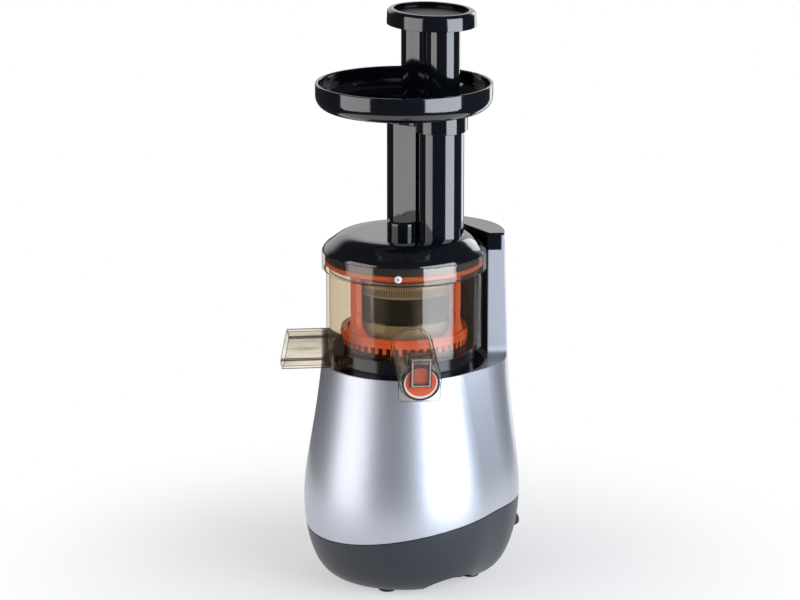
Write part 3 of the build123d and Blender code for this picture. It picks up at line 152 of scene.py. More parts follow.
class Finish:
    """One material, or the world, and its nodes."""

    def __init__(self, name, world=False):
        self.made = (bpy.data.worlds if world else bpy.data.materials).new(name)
        self.made.use_nodes = True
        self.tree = self.made.node_tree
        self.tree.nodes.clear()
        output = "ShaderNodeOutputWorld" if world else "ShaderNodeOutputMaterial"
        self.output = self.tree.nodes.new(output)
        self.cache = {}

    def node(self, kind, settings=None, values=None):
        """Adds a node: its settings first, then the values or links of its sockets."""
        made = self.tree.nodes.new(kind)
        for key, value in (settings or {}).items():
            setattr(made, key, value)
        for key, value in (values or {}).items():
            socket = made.inputs[key]
            if isinstance(value, Number):
                value = value.socket
            if isinstance(value, bpy.types.NodeSocket):
                self.tree.links.new(value, socket)
            elif isinstance(value, tuple) and len(value) == 3 and socket.type == "RGBA":
                socket.default_value = (*value, 1)
            else:
                socket.default_value = value
        return made

    def place(self):
        """x, y and z of the surface point, from the screw axis, as Numbers."""
        if "place" not in self.cache:
            where = self.node("ShaderNodeTexCoord").outputs["Object"]
            moved = self.node(
                "ShaderNodeVectorMath",
                {"operation": "SUBTRACT"},
                {0: where, 1: tuple(AXIS)},
            )
            parts = self.node("ShaderNodeSeparateXYZ", None, {0: moved.outputs[0]})
            self.cache["vector"] = moved.outputs[0]
            self.cache["place"] = [Number(self, s) for s in parts.outputs]
        return self.cache["place"]

    def radius(self):
        x, y, _ = self.place()
        return (x * x + y * y) ** 0.5

    def spout_place(self):
        """Distance along the juice spout, across its axis and above its axis."""
        x, y, z = self.place()
        y, z = y - SPOUT_ROOT.y, z - SPOUT_ROOT.z
        along = y * SPOUT_OUT.y + z * SPOUT_OUT.z
        return along, x, y * SPOUT_UP.y + z * SPOUT_UP.z

    def spout_radius(self, lift=0.0):
        """Distance from the juice spout's axis, moved up by lift."""
        _, across, above = self.spout_place()
        above = above - lift
        return (across * across + above * above) ** 0.5

    def edges(self, radius=0.0005):
        """1 on sharp edges and 0 elsewhere."""
        flat = self.node("ShaderNodeNewGeometry").outputs["Normal"]
        rounded = self.node("ShaderNodeBevel", {"samples": 4}, {"Radius": radius}).outputs[0]
        same = self.node(
            "ShaderNodeVectorMath", {"operation": "DOT_PRODUCT"}, {0: flat, 1: rounded}
        )
        return (1 - Number(self, same.outputs["Value"])).fade(0.02, 0.22)

    def tilt(self):
        """How far a surface faces up or down, from 0 for an upright one to 1."""
        flat = self.node("ShaderNodeNewGeometry").outputs["Normal"]
        parts = self.node("ShaderNodeSeparateXYZ", None, {0: flat})
        return Number(self, parts.outputs["Z"]).math("ABSOLUTE")

    def turning_away(self):
        """0 where a surface faces the eye and 1 where it is seen along."""
        facing = self.node("ShaderNodeLayerWeight", None, {"Blend": 0.5}).outputs["Facing"]
        return Number(self, facing)

    def ray(self, kind):
        """1 for one kind of ray (Camera, Glossy or Transmission) and 0 for the others."""
        if "rays" not in self.cache:
            self.cache["rays"] = self.node("ShaderNodeLightPath").outputs
        return Number(self, self.cache["rays"][f"Is {kind} Ray"])

    def noise(self, scale, detail, roughness=0.5, stretch=(1, 1, 1)):
        """Soft noise from 0 to 1 on the object's own coordinates."""
        self.place()
        mapping = self.node(
            "ShaderNodeMapping", None, {"Vector": self.cache["vector"], "Scale": stretch}
        )
        made = self.node(
            "ShaderNodeTexNoise",
            None,
            {
                "Vector": mapping.outputs[0],
                "Scale": scale,
                "Detail": detail,
                "Roughness": roughness,
            },
        )
        return Number(self, made.outputs[0])

    def blend(self, factor, first, second):
        """Colour between two colours."""
        made = self.node(
            "ShaderNodeMix",
            {"data_type": "RGBA"},
            {"Factor": factor, 6: first, 7: second},
        )
        return made.outputs[2]

    def relief(self, height, strength, distance, edge=0.0):
        """Normal for a height that varies, on rounded edges if edge is given."""
        values = {"Height": height, "Strength": strength, "Distance": distance}
        if edge:
            values["Normal"] = self.node(
                "ShaderNodeBevel", {"samples": 4}, {"Radius": edge}
            ).outputs[0]
        return self.node("ShaderNodeBump", None, values).outputs[0]

    def surface(self, **values):
        """A Principled shader, with underscores for the spaces of its socket names."""
        named = {key.replace("_", " "): value for key, value in values.items()}
        return self.node("ShaderNodeBsdfPrincipled", None, named).outputs[0]

    def show(self, shader):
        self.tree.links.new(shader, self.output.inputs["Surface"])
        return self.made


def satin_silver():
    """Metallic paint: fine flakes under a clear coat, with painted shade in the hollow behind the
    drum, dark and less metallic.
    """
    f = Finish("satin_silver")
    _, _, z = f.place()
    flakes = f.noise(2600, 1.0)
    cloud = f.noise(14, 2.0)
    # painted shade: the recess behind the drum is painted nearly black and made less metallic
    painted_shade_hollow = f.radius().fade(ROOM_R + 0.0012, ROOM_R + 0.0004) * z.fade(RIM_Z, RIM_Z + 0.004)
    base = f.blend(flakes, (0.50, 0.525, 0.59), (0.60, 0.625, 0.69))
    base = f.blend(cloud * 0.12, base, (0.46, 0.485, 0.55))
    base = f.blend(painted_shade_hollow, base, (0.035, 0.033, 0.033))
    return f.show(
        f.surface(
            Base_Color=base,
            Metallic=0.9 - painted_shade_hollow * 0.7,
            Roughness=0.39 + flakes * 0.06,
            Coat_Weight=0.25,
            Coat_Roughness=0.15,
            Normal=f.relief(flakes, 0.08, 0.00008, edge=0.0007),
        )
    )


def anthracite():
    """Satin moulded plastic with a fine grain."""
    f = Finish("anthracite_satin")
    grain = f.noise(1500, 3.0, 0.6)
    cloud = f.noise(22, 2.0)
    base = f.blend(cloud, (0.014, 0.018, 0.026), (0.020, 0.025, 0.034))
    return f.show(
        f.surface(
            Base_Color=base,
            Roughness=0.36 + grain * 0.08,
            Coat_Weight=0.15,
            Coat_Roughness=0.3,
            Normal=f.relief(grain, 0.10, 0.00006, edge=0.0006),
        )
    )


def gloss_black():
    """Polished black plastic with a faint handling haze."""
    f = Finish("gloss_black")
    haze = f.noise(30, 3.0, 0.6)
    ripple = f.noise(45, 1.0)
    return f.show(
        f.surface(
            Base_Color=(0.0028, 0.0041, 0.0074),
            Roughness=0.05 + haze * 0.05,
            IOR=1.8,
            Normal=f.relief(ripple, 0.04, 0.0006, edge=0.0007),
        )
    )


def grained_plastic(name, colour, rough, grain=1100, ior=1.5):
    """Dull moulded plastic."""
    f = Finish(name)
    texture = f.noise(grain, 3.0, 0.6)
    cloud = f.noise(35, 2.0)
    light = tuple(min(1, c * 1.25 + 0.003) for c in colour)
    return f.show(
        f.surface(
            Base_Color=f.blend(cloud, colour, light),
            Roughness=rough - 0.06 + texture * 0.12,
            IOR=ior,
            Normal=f.relief(texture, 0.15, 0.00008),
        )
    )


def rubber():
    """Dusty rubber."""
    f = Finish("foot_rubber")
    dust = f.noise(260, 4.0, 0.65)
    return f.show(
        f.surface(
            Base_Color=f.blend(dust, (0.012, 0.012, 0.013), (0.03, 0.03, 0.03)),
            Roughness=0.62 + dust * 0.2,
            Normal=f.relief(dust, 0.3, 0.0001),
        )
    )


def orange(name, rough):
    """Food-safe orange: glossy on the brush cage, softer on silicone."""
    f = Finish(name)
    cloud = f.noise(60, 2.0)
    grain = f.noise(900, 2.0)
    return f.show(
        f.surface(
            Base_Color=f.blend(cloud, (0.80, 0.105, 0.018), (0.88, 0.15, 0.03)),
            Roughness=rough + grain * 0.08,
            Subsurface_Weight=0.06,
            Subsurface_Radius=(0.003, 0.001, 0.0005),
            Normal=f.relief(grain, 0.06, 0.00006),
        )
    )


def metal(name, colour, rough, lathed=False):
    """Machined or drawn metal, with turning marks where it was turned."""
    f = Finish(name)
    if lathed:
        marks = f.noise(60, 3.0, 0.7, stretch=(0.2, 0.2, 40))
    else:
        marks = f.noise(180, 4.0, 0.6)
    dull = tuple(c * 0.8 for c in colour)
    return f.show(
        f.surface(
            Base_Color=f.blend(marks, colour, dull),
            Metallic=1.0,
            Roughness=rough + marks * 0.12,
            Normal=f.relief(marks, 0.12, 0.00006),
        )
    )


def clear_plastic(f, tint, cover, base, painted_shade_line):
    """Mixes see-through tint with polished plastic by cover, and a dull dark brown painted shade by
    painted_shade_line.
    """
    film = f.node("ShaderNodeBsdfTransparent", None, {"Color": tint}).outputs[0]
    swirl = f.noise(16, 2.0, stretch=(1, 1, 0.35))
    gloss = f.surface(Base_Color=base, Roughness=0.03 + swirl * 0.03, IOR=3.6)
    # painted shade: dull dark brown surface for the dark lines on edges and walls seen along
    edge_shade_colour = f.blend(swirl, (0.022, 0.015, 0.009), (0.034, 0.024, 0.015))
    painted_edge_shade = f.surface(Base_Color=edge_shade_colour, Roughness=0.6, IOR=1.2)
    mixed = f.node("ShaderNodeMixShader", None, {0: cover, 1: film, 2: gloss}).outputs[0]
    lined = f.node("ShaderNodeMixShader", None, {0: painted_shade_line, 1: mixed, 2: painted_edge_shade})
    return f.show(lined.outputs[0])


def drum_clear():
    """Smoky clear drum, milkier in the thick ring round its mouth, with painted shade in dark lines
    on its edges and round the foot of the ring, and a painted highlight: more of the glossy surface
    on its right side.
    """
    f = Finish("drum_clear")
    x, _, z = f.place()
    swirl = f.noise(16, 2.0, stretch=(1, 1, 0.35))
    ring = z.fade(RING_FOOT_Z, RING_FOOT_Z + 0.0020)
    # painted shade: a dark line round the foot of the ring
    painted_shade_step = z.fade(RING_FOOT_Z - 0.0005, RING_FOOT_Z)
    painted_shade_step = painted_shade_step * z.fade(RING_FOOT_Z + 0.0011, RING_FOOT_Z + 0.0006)
    # painted highlight: a larger share of the glossy surface towards the right side
    painted_highlight_right = x.fade(-0.012, 0.022)
    base = f.blend(swirl, (0.055, 0.041, 0.026), (0.075, 0.057, 0.037))
    base = f.blend(ring * 0.7, base, (0.26, 0.21, 0.17))
    cover = 0.055 + painted_highlight_right * 0.095 + ring * 0.05 + f.turning_away() ** 6.0 * 0.36
    # painted shade: dark lines on sharp edges and round the foot of the ring
    painted_shade_line = (f.edges() * 0.40).math("MAXIMUM", painted_shade_step * 0.85)
    return clear_plastic(f, (0.93, 0.885, 0.81), cover, base, painted_shade_line)


def spout_clear():
    """Juice spout: clear, with painted shade on its walls seen along and on its edges, and a pale
    mouth.
    """
    f = Finish("spout_clear")
    swirl = f.noise(30, 2.0)
    mouth = f.spout_place()[0].fade(SPOUT_END, SPOUT_END + 0.0004)
    mouth = mouth * f.spout_radius().fade(SPOUT_BORE_R, SPOUT_BORE_R + 0.0004)
    base = f.blend(swirl, (0.31, 0.235, 0.205), (0.42, 0.33, 0.29))
    cover = 0.13 + f.turning_away() ** 5.0 * 0.22 + mouth * 0.1
    # painted shade: dark on edges and where the wall is seen along
    painted_shade_line = (f.edges(0.0015) * 0.8).math("MAXIMUM", f.turning_away().fade(0.79, 0.89) * 0.85)
    return clear_plastic(f, (0.985, 0.955, 0.92), cover, base, painted_shade_line)


def clip_clear(half_width, middle, half_height):
    """Clip of the juice flap: clear, with a pale frame between two lines of painted shade."""
    f = Finish("clip_clear")
    swirl = f.noise(40, 2.0)
    _, across, above = f.spout_place()
    sides = across.math("ABSOLUTE") - half_width
    ends = (above - middle).math("ABSOLUTE") - half_height
    inset = sides.math("MAXIMUM", ends)
    # painted shade: dark lines along the frame's outer and inner borders
    outer_shade_line = inset.fade(-0.0004, -0.0001) * inset.fade(0.0012, 0.0008)
    inner_shade_line = inset.fade(-0.0022, -0.0019) * inset.fade(-0.0013, -0.0016)
    frame_strip = inset.fade(-0.0017, -0.0015) * inset.fade(0.0012, 0.0008)
    base = f.blend(swirl, (0.20, 0.15, 0.13), (0.26, 0.20, 0.17))
    base = f.blend(frame_strip, base, (0.44, 0.37, 0.33))
    cover = 0.10 + frame_strip * 0.28 + f.turning_away() ** 2.0 * 0.12
    painted_shade_line = (outer_shade_line * 0.75).math("MAXIMUM", inner_shade_line * 0.55)
    return clear_plastic(f, (0.97, 0.93, 0.90), cover, base, painted_shade_line)


def pulp_clear():
    """Pulp spout: amber walls with flow streaks, and painted shade on its edges and corners and in
    its throat.
    """
    f = Finish("pulp_clear")
    x, _, z = f.place()
    tilt = f.tilt()
    upper = z.fade(*DUCT_Z)
    corner_shade = tilt.fade(0.66, 0.74) * tilt.fade(0.92, 0.84)
    throat_shade = x.fade(*THROAT_X)
    streaks = f.noise(150, 3.0, 0.6, stretch=(0.16, 1, 1.6)).fade(0.52, 0.62)
    base = f.blend(streaks, (0.16, 0.125, 0.08), (0.11, 0.075, 0.03))
    cover = 0.02 + upper * 0.10 + streaks * 0.12 + f.turning_away() ** 5.0 * 0.3
    # painted shade: dark on edges, along the rounded corners and in the throat
    painted_shade_line = (f.edges(0.0014) * 0.8).math("MAXIMUM", corner_shade * 0.9).math("MAXIMUM", throat_shade * 0.62)
    return clear_plastic(f, (0.971, 0.946, 0.895), cover, base, painted_shade_line)


def seal_finish():
    """Orange silicone disc of the juice spout, in a pale lip and a black moulded rim."""
    f = Finish("spout_seal")
    rim = f.spout_radius().fade(DISC_R, DISC_R + 0.0001)
    lip = f.spout_radius(lift=LIP_LIFT).fade(LIP_R, LIP_R + 0.0002)
    cloud = f.noise(60, 2.0)
    grain = f.noise(900, 2.0)
    disc = f.blend(cloud, (0.50, 0.066, 0.018), (0.60, 0.095, 0.03))
    disc = f.blend(lip, disc, (0.66, 0.55, 0.49))
    return f.show(
        f.surface(
            Base_Color=f.blend(rim, disc, (0.008, 0.008, 0.009)),
            Roughness=0.34 - rim * 0.2 + grain * 0.08,
            Normal=f.relief(rim + grain * 0.1, 0.3, 0.0005),
        )
    )


def strainer_finish():
    """Amber moulding of the strainer: black round the sieve, and fine slots in the rim painted
    darker as painted shade.
    """
    f = Finish("strainer_amber")
    x, y, z = f.place()
    turn = y.math("ARCTAN2", x)
    slots = (turn * SLOTS_ROUND).math("SINE") > 0.0
    # painted shade: the slots are painted darker amber for the shade inside them
    painted_shade_slots = slots * (z > SLOTS_Z[0]) * (z < SLOTS_Z[1])
    sieve = (z > SIEVE_Z[0] - 0.0016) * (z < SIEVE_Z[1] - 0.0001)
    cloud = f.noise(40, 2.0)
    amber = f.blend(cloud, (0.25, 0.205, 0.13), (0.32, 0.27, 0.18))
    amber = f.blend(painted_shade_slots, amber, (0.07, 0.055, 0.035))
    return f.show(
        f.surface(
            Base_Color=f.blend(sieve, amber, (0.010, 0.010, 0.011)),
            Roughness=0.24 + painted_shade_slots * 0.3,
            IOR=1.5,
            Coat_Weight=0.4,
            Normal=f.relief(1 - painted_shade_slots, 0.6, 0.0004),
        )
    )


def mesh_finish():
    """Etched steel sheet with rows of fine upright slots, painted near black inside as painted
    shade.
    """
    f = Finish("strainer_mesh")
    x, y, z = f.place()
    turn = y.math("ARCTAN2", x)
    across = (turn * HOLES_ROUND).math("SINE") > 0.05
    rows = (z * HOLES_UP).math("SINE") > -0.75
    # painted shade: the slots are painted near black for the shade inside them
    painted_shade_holes = across * rows
    return f.show(
        f.surface(
            Base_Color=f.blend(painted_shade_holes, (0.020, 0.019, 0.018), (0.004, 0.004, 0.004)),
            Metallic=0.5 - painted_shade_holes * 0.5,
            Roughness=0.34,
            Normal=f.relief(1 - painted_shade_holes, 0.5, 0.0003),
        )
    )


def plain(name, colour, rough):
    """Painted marks."""
    f = Finish(name)
    grain = f.noise(700, 2.0)
    return f.show(
        f.surface(
            Base_Color=f.blend(grain * 0.3, colour, tuple(c * 0.85 for c in colour)),
            Roughness=rough + grain * 0.05,
        )
    )


silver = satin_silver()
dark = anthracite()
black = gloss_black()
satin_black = grained_plastic("satin_black", (0.0045, 0.0050, 0.0068), 0.16, 400)
dish_black = grained_plastic("dish_black", (0.0050, 0.0058, 0.0080), 0.3, 400, ior=1.15)
dull_black = grained_plastic("dull_black", (0.012, 0.012, 0.014), 0.36)
rubber_black = rubber()
clear = drum_clear()
clear_spout = spout_clear()
clear_duct = pulp_clear()
spout_seal = seal_finish()
cage_orange = orange("cage_orange", 0.22)
soft_orange = orange("silicone_orange", 0.38)
amber = strainer_finish()
etched = mesh_finish()
steel = metal("turned_steel", (0.56, 0.56, 0.57), 0.24, lathed=True)
sheet_steel = metal("plated_steel", (0.48, 0.48, 0.47), 0.32)
cast = metal("cast_aluminium", (0.60, 0.61, 0.62), 0.45)
copper = metal("copper_wire", (0.80, 0.36, 0.18), 0.35)
ferrite = grained_plastic("ferrite", (0.045, 0.045, 0.048), 0.6, 600)
gear_white = grained_plastic("gear_white", (0.70, 0.68, 0.60), 0.4)
board = grained_plastic("board_green", (0.02, 0.12, 0.05), 0.4, 500)

FINISHES = {
    silver: ["upper_housing"],
    dark: ["base_housing"],
    black: ["column_cap", "lid", "feed_bowl"],
    satin_black: ["drum_seat"],
    dull_black: [
        "base_plate", "switch_bezel", "switch_rocker", "lid_switch", "screw", "screw_gear",
        "pinion",
    ],
    rubber_black: ["feet", "cord_gland"],
    clear: ["drum", "pulp_channel"],
    clear_spout: ["juice_spout"],
    clear_duct: ["pulp_spout"],
    spout_seal: ["juice_seal"],
    cage_orange: ["brush_frame"],
    soft_orange: ["brush_wipers", "drum_seal"],
    amber: ["strainer_frame"],
    etched: ["strainer_mesh"],
    steel: [
        "bearings", "lay_pin", "motor_shaft", "output_shaft", "output_wheel", "screw_insert",
        "flap_pin", "base_screws",
    ],
    sheet_steel: ["motor_can", "armature_core"],
    cast: ["gearbox_housing", "gearbox_cover"],
    copper: ["armature_windings"],
    ferrite: ["motor_magnets"],
    gear_white: ["lay_wheel"],
    board: ["control_board"],
}
for material, names in FINISHES.items():
    for name in names:
        mesh = nodes[name].data
        mesh.materials.clear()
        mesh.materials.append(material)


# ------------------------------------------------------------------ new pieces


def piece(name, bm, material, body, turn_out=True, creased=True):
    """Makes an object of a bmesh, with its place in its mesh, that rides on a body."""
    if turn_out:
        bmesh.ops.recalc_face_normals(bm, faces=bm.faces)
    mesh = bpy.data.meshes.new(name)
    bm.to_mesh(mesh)
    bm.free()
    if "custom_normal" in mesh.attributes:
        mesh.attributes.remove(mesh.attributes["custom_normal"])
    mesh.materials.append(material)
    mesh.shade_smooth()
    made = bpy.data.objects.new(name, mesh)
    bpy.context.scene.collection.objects.link(made)
    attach(made, body)
    if creased:
        mesh.set_sharp_from_angle(angle=SHARP)
    return made


def thicken(bm, rise):
    """Pulls all faces of a bmesh out along a vector."""
    raised = bmesh.ops.extrude_face_region(bm, geom=bm.faces[:])
    lifted = [g for g in raised["geom"] if isinstance(g, bmesh.types.BMVert)]
    bmesh.ops.translate(bm, verts=lifted, vec=rise)


def ring_place(turn, height, radius):
    """Matrix of a spot on a wall round the screw axis: z outwards, y up."""
    out = Vector((cos(turn), sin(turn), 0))
    up = Vector((0, 0, 1))
    across = up.cross(out)
    place = Matrix((across, up, out)).transposed().to_4x4()
    place.translation = AXIS + out * radius + up * height
    return place


white = plain("mark_white", (0.86, 0.86, 0.86), 0.35)
grey = plain("mark_grey", (0.33, 0.33, 0.34), 0.4)

# alignment mark on the drum's ring: a white disc with a grey centre
DOT_TURN = radians(-100.0)
DOT_Z = 0.2478
DOT_SIDES = 40
DOT_R = 0.0027
DOT_THICK = 0.0005
DOT_SUNK = 0.00012
CENTRE_R = 0.00125
CENTRE_PROUD = 0.00041
bm = bmesh.new()
bmesh.ops.create_circle(bm, cap_ends=True, segments=DOT_SIDES, radius=DOT_R)
bmesh.ops.extrude_face_region(bm, geom=bm.faces[:])
bmesh.ops.translate(bm, verts=list(bm.verts)[DOT_SIDES:], vec=(0, 0, DOT_THICK))
bmesh.ops.transform(bm, matrix=ring_place(DOT_TURN, DOT_Z, RING_R - DOT_SUNK), verts=bm.verts)
piece("ring_mark", bm, white, "base", creased=False)

bm = bmesh.new()
bmesh.ops.create_circle(bm, cap_ends=True, segments=32, radius=CENTRE_R)
bmesh.ops.transform(
    bm, matrix=ring_place(DOT_TURN, DOT_Z, RING_R + CENTRE_PROUD), verts=bm.verts
)
piece("ring_mark_centre", bm, grey, "base", creased=False)


def turned(name, outline, material, body):
    """Makes a closed outline of (radius, height) points into a ring round the screw axis."""
    bm = bmesh.new()
    verts = [bm.verts.new(AXIS + Vector((r, 0, z))) for r, z in outline]
    edges = [bm.edges.new((a, b)) for a, b in zip(verts, verts[1:] + verts[:1])]
    bmesh.ops.spin(
        bm, geom=verts + edges, cent=tuple(AXIS), axis=(0, 0, 1), angle=2 * pi,
        steps=96, use_merge=True,
    )
    piece(name, bm, material, body)


# slotted rim of the strainer, above the sieve
SIEVE_R = 0.0380
RIM_TOP_Z = 0.2385
turned(
    "strainer_rim",
    [
        (SIEVE_R - 0.0015, SIEVE_Z[1]),
        (SIEVE_R - 0.0001, SIEVE_Z[1]),
        (SIEVE_R, SIEVE_Z[1] + 0.0002),
        (SIEVE_R, RIM_TOP_Z - 0.0027),
        (SIEVE_R + 0.0013, RIM_TOP_Z - 0.0025),
        (SIEVE_R + 0.0014, RIM_TOP_Z - 0.0002),
        (SIEVE_R + 0.0012, RIM_TOP_Z),
        (SIEVE_R - 0.0015, RIM_TOP_Z),
    ],
    amber, "base",
)

# silicone seal of the lid: a bead below its spigot
MOUTH_R = RING_R - 0.0024
BEAD_Z = (0.2443, 0.2489)
turned(
    "lid_seal",
    [
        (MOUTH_R - 0.0034, BEAD_Z[0] + 0.0001),
        (MOUTH_R - 0.0028, BEAD_Z[0]),
        (MOUTH_R - 0.0002, BEAD_Z[0] + 0.0017),
        (MOUTH_R - 0.0002, BEAD_Z[1] - 0.0004),
        (MOUTH_R - 0.0006, BEAD_Z[1]),
        (MOUTH_R - 0.0034, BEAD_Z[1]),
    ],
    soft_orange, "lid",
)

# plain band over the upper half of the brush ring's gaps
CAGE_R = 0.0476
BAND_Z = (0.1902, 0.1941)
turned(
    "brush_band",
    [
        (CAGE_R - 0.0002, BAND_Z[0]),
        (CAGE_R + 0.0004, BAND_Z[0]),
        (CAGE_R + 0.0006, BAND_Z[0] + 0.0002),
        (CAGE_R + 0.0006, BAND_Z[1] - 0.0004),
        (CAGE_R + 0.0003, BAND_Z[1]),
        (CAGE_R - 0.0002, BAND_Z[1]),
    ],
    cage_orange, "brush",
)

# flat panel of the chute, over the left part of its hollow side, below the bowl's sleeve
PANEL_OUTLINE = [
    (-0.0040, 0.01595), (0.0095, 0.00595), (0.0108, 0.0081), (0.0074, 0.0113), (0.0037, 0.0131),
    (-0.0020, 0.0155),
]
PANEL_Z = (0.2660, 0.3486)
bm = bmesh.new()
bm.faces.new([bm.verts.new(AXIS + Vector((x, y, PANEL_Z[0]))) for x, y in PANEL_OUTLINE])
thicken(bm, (0, 0, PANEL_Z[1] - PANEL_Z[0]))
piece("chute_panel", bm, black, "lid")

NEAR = 0.0002  # how close a CAD corner lies to the height it is looked for at

# the pusher's head, measured down from its top
PUSHER_OUT = 0.024  # its middle from the screw axis
SKIRT_DEEP = 0.015
SKIRT_CUT = 0.0034
SHOULDER_DEEP = 0.0060
SHOULDER_IN = 0.030  # share of the way to the middle, at the very top
DISH_DEEP = 0.0035

# the clip of the juice flap
BARREL_HIGH = 0.0030  # top of the plate that the frame leaves free
PLATE_MARGIN = 0.0005
FOOT_BAND = 0.0005  # corners this near the plate's foot move up with it
FRAME_WIDTH = 0.0017
FRAME_RISE = 0.0006
FLAP_CUT = 0.0055
LINES_UP = 0.0024  # LINES_UP = 0.0024 # how far the finish's painted shade lines reach above the frame


def merged_copy(node):
    """A CAD node's mesh with its loose triangles joined."""
    bm = bmesh.new()
    bm.from_mesh(nodes[node].data)
    bmesh.ops.remove_doubles(bm, verts=bm.verts, dist=1e-6)
    return bm


def dressed_pusher():
    """The pusher with a thinner head, softer shoulders and a dull dish."""
    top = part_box("pusher")[1].z
    middle = AXIS + Vector((cos(COLUMN_TURN), sin(COLUMN_TURN), 0)) * PUSHER_OUT
    bm = merged_copy("pusher")
    for v in bm.verts:
        if abs(v.co.z - (top - SKIRT_DEEP)) < NEAR:
            v.co.z += SKIRT_CUT
        elif v.co.z > top - SHOULDER_DEEP:
            bend = ((v.co.z - top + SHOULDER_DEEP) / SHOULDER_DEEP) ** 2
            v.co.x += (middle.x - v.co.x) * SHOULDER_IN * bend
            v.co.y += (middle.y - v.co.y) * SHOULDER_IN * bend
    bm.normal_update()
    for face in bm.faces:
        deep = top - face.calc_center_median().z
        if face.normal.z > 0.9 and abs(deep - DISH_DEEP) < NEAR:
            face.material_index = 1
    made = piece("pusher_body", bm, black, "pusher", turn_out=False)
    made.data.materials.append(dish_black)
    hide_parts("pusher")


def dressed_flap():
    """The juice flap's clip: the plate, cut short, with a raised frame on its face."""
    bm = merged_copy("juice_flap")
    root = AXIS + SPOUT_ROOT
    outs = {v: (v.co - root).dot(SPOUT_OUT) for v in bm.verts}
    ups = {v: (v.co - root).dot(SPOUT_UP) for v in bm.verts}
    front, low = max(outs.values()), min(ups.values())
    high = max(ups.values()) - BARREL_HIGH
    half_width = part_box("juice_flap")[1].x - PLATE_MARGIN
    half_height = (high - low - FLAP_CUT) / 2 - PLATE_MARGIN
    middle = (high + low + FLAP_CUT) / 2
    clear_clip = clip_clear(half_width, middle + LINES_UP / 2, half_height + LINES_UP / 2)
    for v in bm.verts:
        if outs[v] > front - NEAR:
            v.co -= SPOUT_OUT * FRAME_RISE
        if ups[v] < low + FOOT_BAND:
            v.co += SPOUT_UP * FLAP_CUT
    made = piece("flap_plate", bm, clear_clip, "juice_flap", turn_out=False)
    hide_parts("juice_flap")

    bm = bmesh.new()
    bmesh.ops.create_grid(bm, x_segments=1, y_segments=1, size=1)
    bmesh.ops.scale(bm, vec=(half_width, half_height, 1), verts=bm.verts)
    inset = bmesh.ops.inset_region(
        bm, faces=bm.faces[:], thickness=FRAME_WIDTH, use_boundary=True, use_even_offset=True
    )
    middle_face = [f for f in bm.faces if f not in inset["faces"]]
    bmesh.ops.delete(bm, geom=middle_face, context="FACES_ONLY")
    thicken(bm, (0, 0, FRAME_RISE))
    place = Matrix((Vector((1, 0, 0)), SPOUT_UP, SPOUT_OUT)).transposed().to_4x4()
    place.translation = root + SPOUT_UP * middle + SPOUT_OUT * (front - FRAME_RISE - 0.00001)
    bmesh.ops.transform(bm, matrix=place, verts=bm.verts)
    piece("flap_frame", bm, clear_clip, "juice_flap")


dressed_pusher()
dressed_flap()


# ------------------------------------------------------------------ floor, light, camera

TABLE_R = 0.42
LAMP_AWAY = 1.5
VIEW_TURN = radians(-6.0)


def floor():
    """Pale round table that fades to the white round it, and keeps the shadow."""
    f = Finish("studio_floor")
    away = f.radius().fade(0.09, TABLE_R - 0.06)
    paper = f.node("ShaderNodeBsdfDiffuse", None, {"Color": (0.9, 0.9, 0.905)}).outputs[0]
    glow = f.node("ShaderNodeEmission", None, {"Color": (1, 1, 1), "Strength": 1.0}).outputs[0]
    direct = f.ray("Camera").math("MAXIMUM", f.ray("Glossy").math("MAXIMUM", f.ray("Transmission")))
    share = (away * 0.5 + 0.5) * direct
    mixed = f.node("ShaderNodeMixShader", None, {0: share, 1: paper, 2: glow})
    f.show(mixed.outputs[0])
    bm = bmesh.new()
    bmesh.ops.create_circle(bm, cap_ends=True, segments=96, radius=TABLE_R)
    bmesh.ops.translate(bm, verts=bm.verts, vec=tuple(AXIS))
    mesh = bpy.data.meshes.new("studio_floor")
    bm.to_mesh(mesh)
    bm.free()
    mesh.materials.append(f.made)
    made = bpy.data.objects.new("studio_floor", mesh)
    bpy.context.scene.collection.objects.link(made)


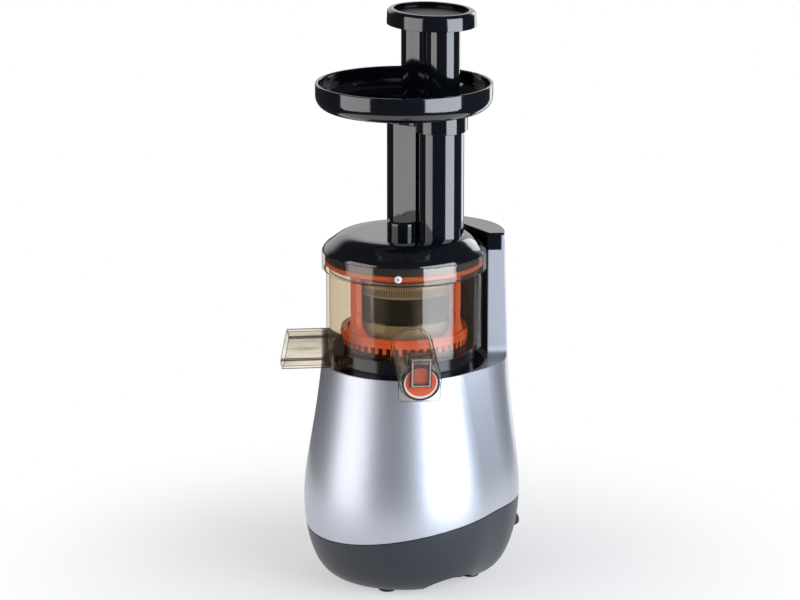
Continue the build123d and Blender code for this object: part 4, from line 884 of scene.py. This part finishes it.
def lamp(name, turn, rise, size, strength, colour):
    """Soft box that faces the drum. turn is in degrees from the camera's side towards +X,
    rise in degrees above the table.
    """
    turn, rise = VIEW_TURN + radians(turn), radians(rise)
    light = bpy.data.lights.new(name, "AREA")
    light.shape = "RECTANGLE"
    light.size, light.size_y = size
    light.energy = strength * pi * size[0] * size[1]
    light.color = colour
    made = bpy.data.objects.new(name, light)
    target = AXIS + Vector((0, 0, 0.2))
    out = Vector((sin(turn) * cos(rise), -cos(turn) * cos(rise), sin(rise)))
    made.location = target + out * LAMP_AWAY
    made.rotation_euler = out.to_track_quat("Z", "Y").to_euler()
    made.visible_camera = False
    made.visible_glossy = rise < radians(45)
    bpy.context.scene.collection.objects.link(made)


floor()
lamp("box_right", 52, 8, (1.45, 1.7), 5.3, (0.85, 0.91, 1.0))
lamp("box_left", -66, 8, (1.25, 1.7), 2.4, (1.0, 0.97, 0.985))
lamp("box_rim", 152, 0, (0.4, 1.7), 2.2, (0.95, 0.98, 1.0))
lamp("box_top", 180, 72, (1.4, 1.1), 0.5, (1, 1, 1))


def world():
    """White where it is seen straight or through plastic. Mirrors find it white only low
    behind the object, and a dim room elsewhere.
    """
    f = Finish("studio", world=True)
    way = f.node("ShaderNodeTexCoord").outputs["Generated"]
    parts = f.node("ShaderNodeSeparateXYZ", None, {0: way})
    x, y, height = [Number(f, socket) for socket in parts.outputs]
    behind = y * cos(VIEW_TURN) - x * sin(VIEW_TURN)
    above = height.fade(-0.1, 0.12) * height.fade(0.55, 0.35) * behind.fade(0.62, 0.86)
    mirrored = f.ray("Glossy")
    direct = f.ray("Camera").math(
        "MAXIMUM", f.ray("Transmission").math("MAXIMUM", mirrored * above)
    )
    white_room = f.node("ShaderNodeBackground", None, {"Color": (1, 1, 1), "Strength": 1.0})
    level = 0.20 - mirrored * 0.15
    dim_room = f.node("ShaderNodeBackground", None, {"Color": (0.93, 0.96, 1), "Strength": level})
    mixed = f.node(
        "ShaderNodeMixShader", None, {0: direct, 1: dim_room.outputs[0], 2: white_room.outputs[0]}
    )
    bpy.context.scene.world = f.show(mixed.outputs[0])


world()

lens = bpy.data.cameras.new("studio_camera")
lens.lens = 148.5
lens.sensor_width = 36.0
lens.clip_start = 0.05
lens.clip_end = 50
camera = bpy.data.objects.new("studio_camera", lens)
bpy.context.scene.collection.objects.link(camera)
camera.location = AXIS + Vector((-0.2557, -2.4039, 0.8530))
camera.rotation_euler = (radians(75.24), 0, VIEW_TURN)
bpy.context.scene.camera = camera
bpy.context.scene.view_settings.view_transform = "Standard"

bpy.context.view_layer.update()
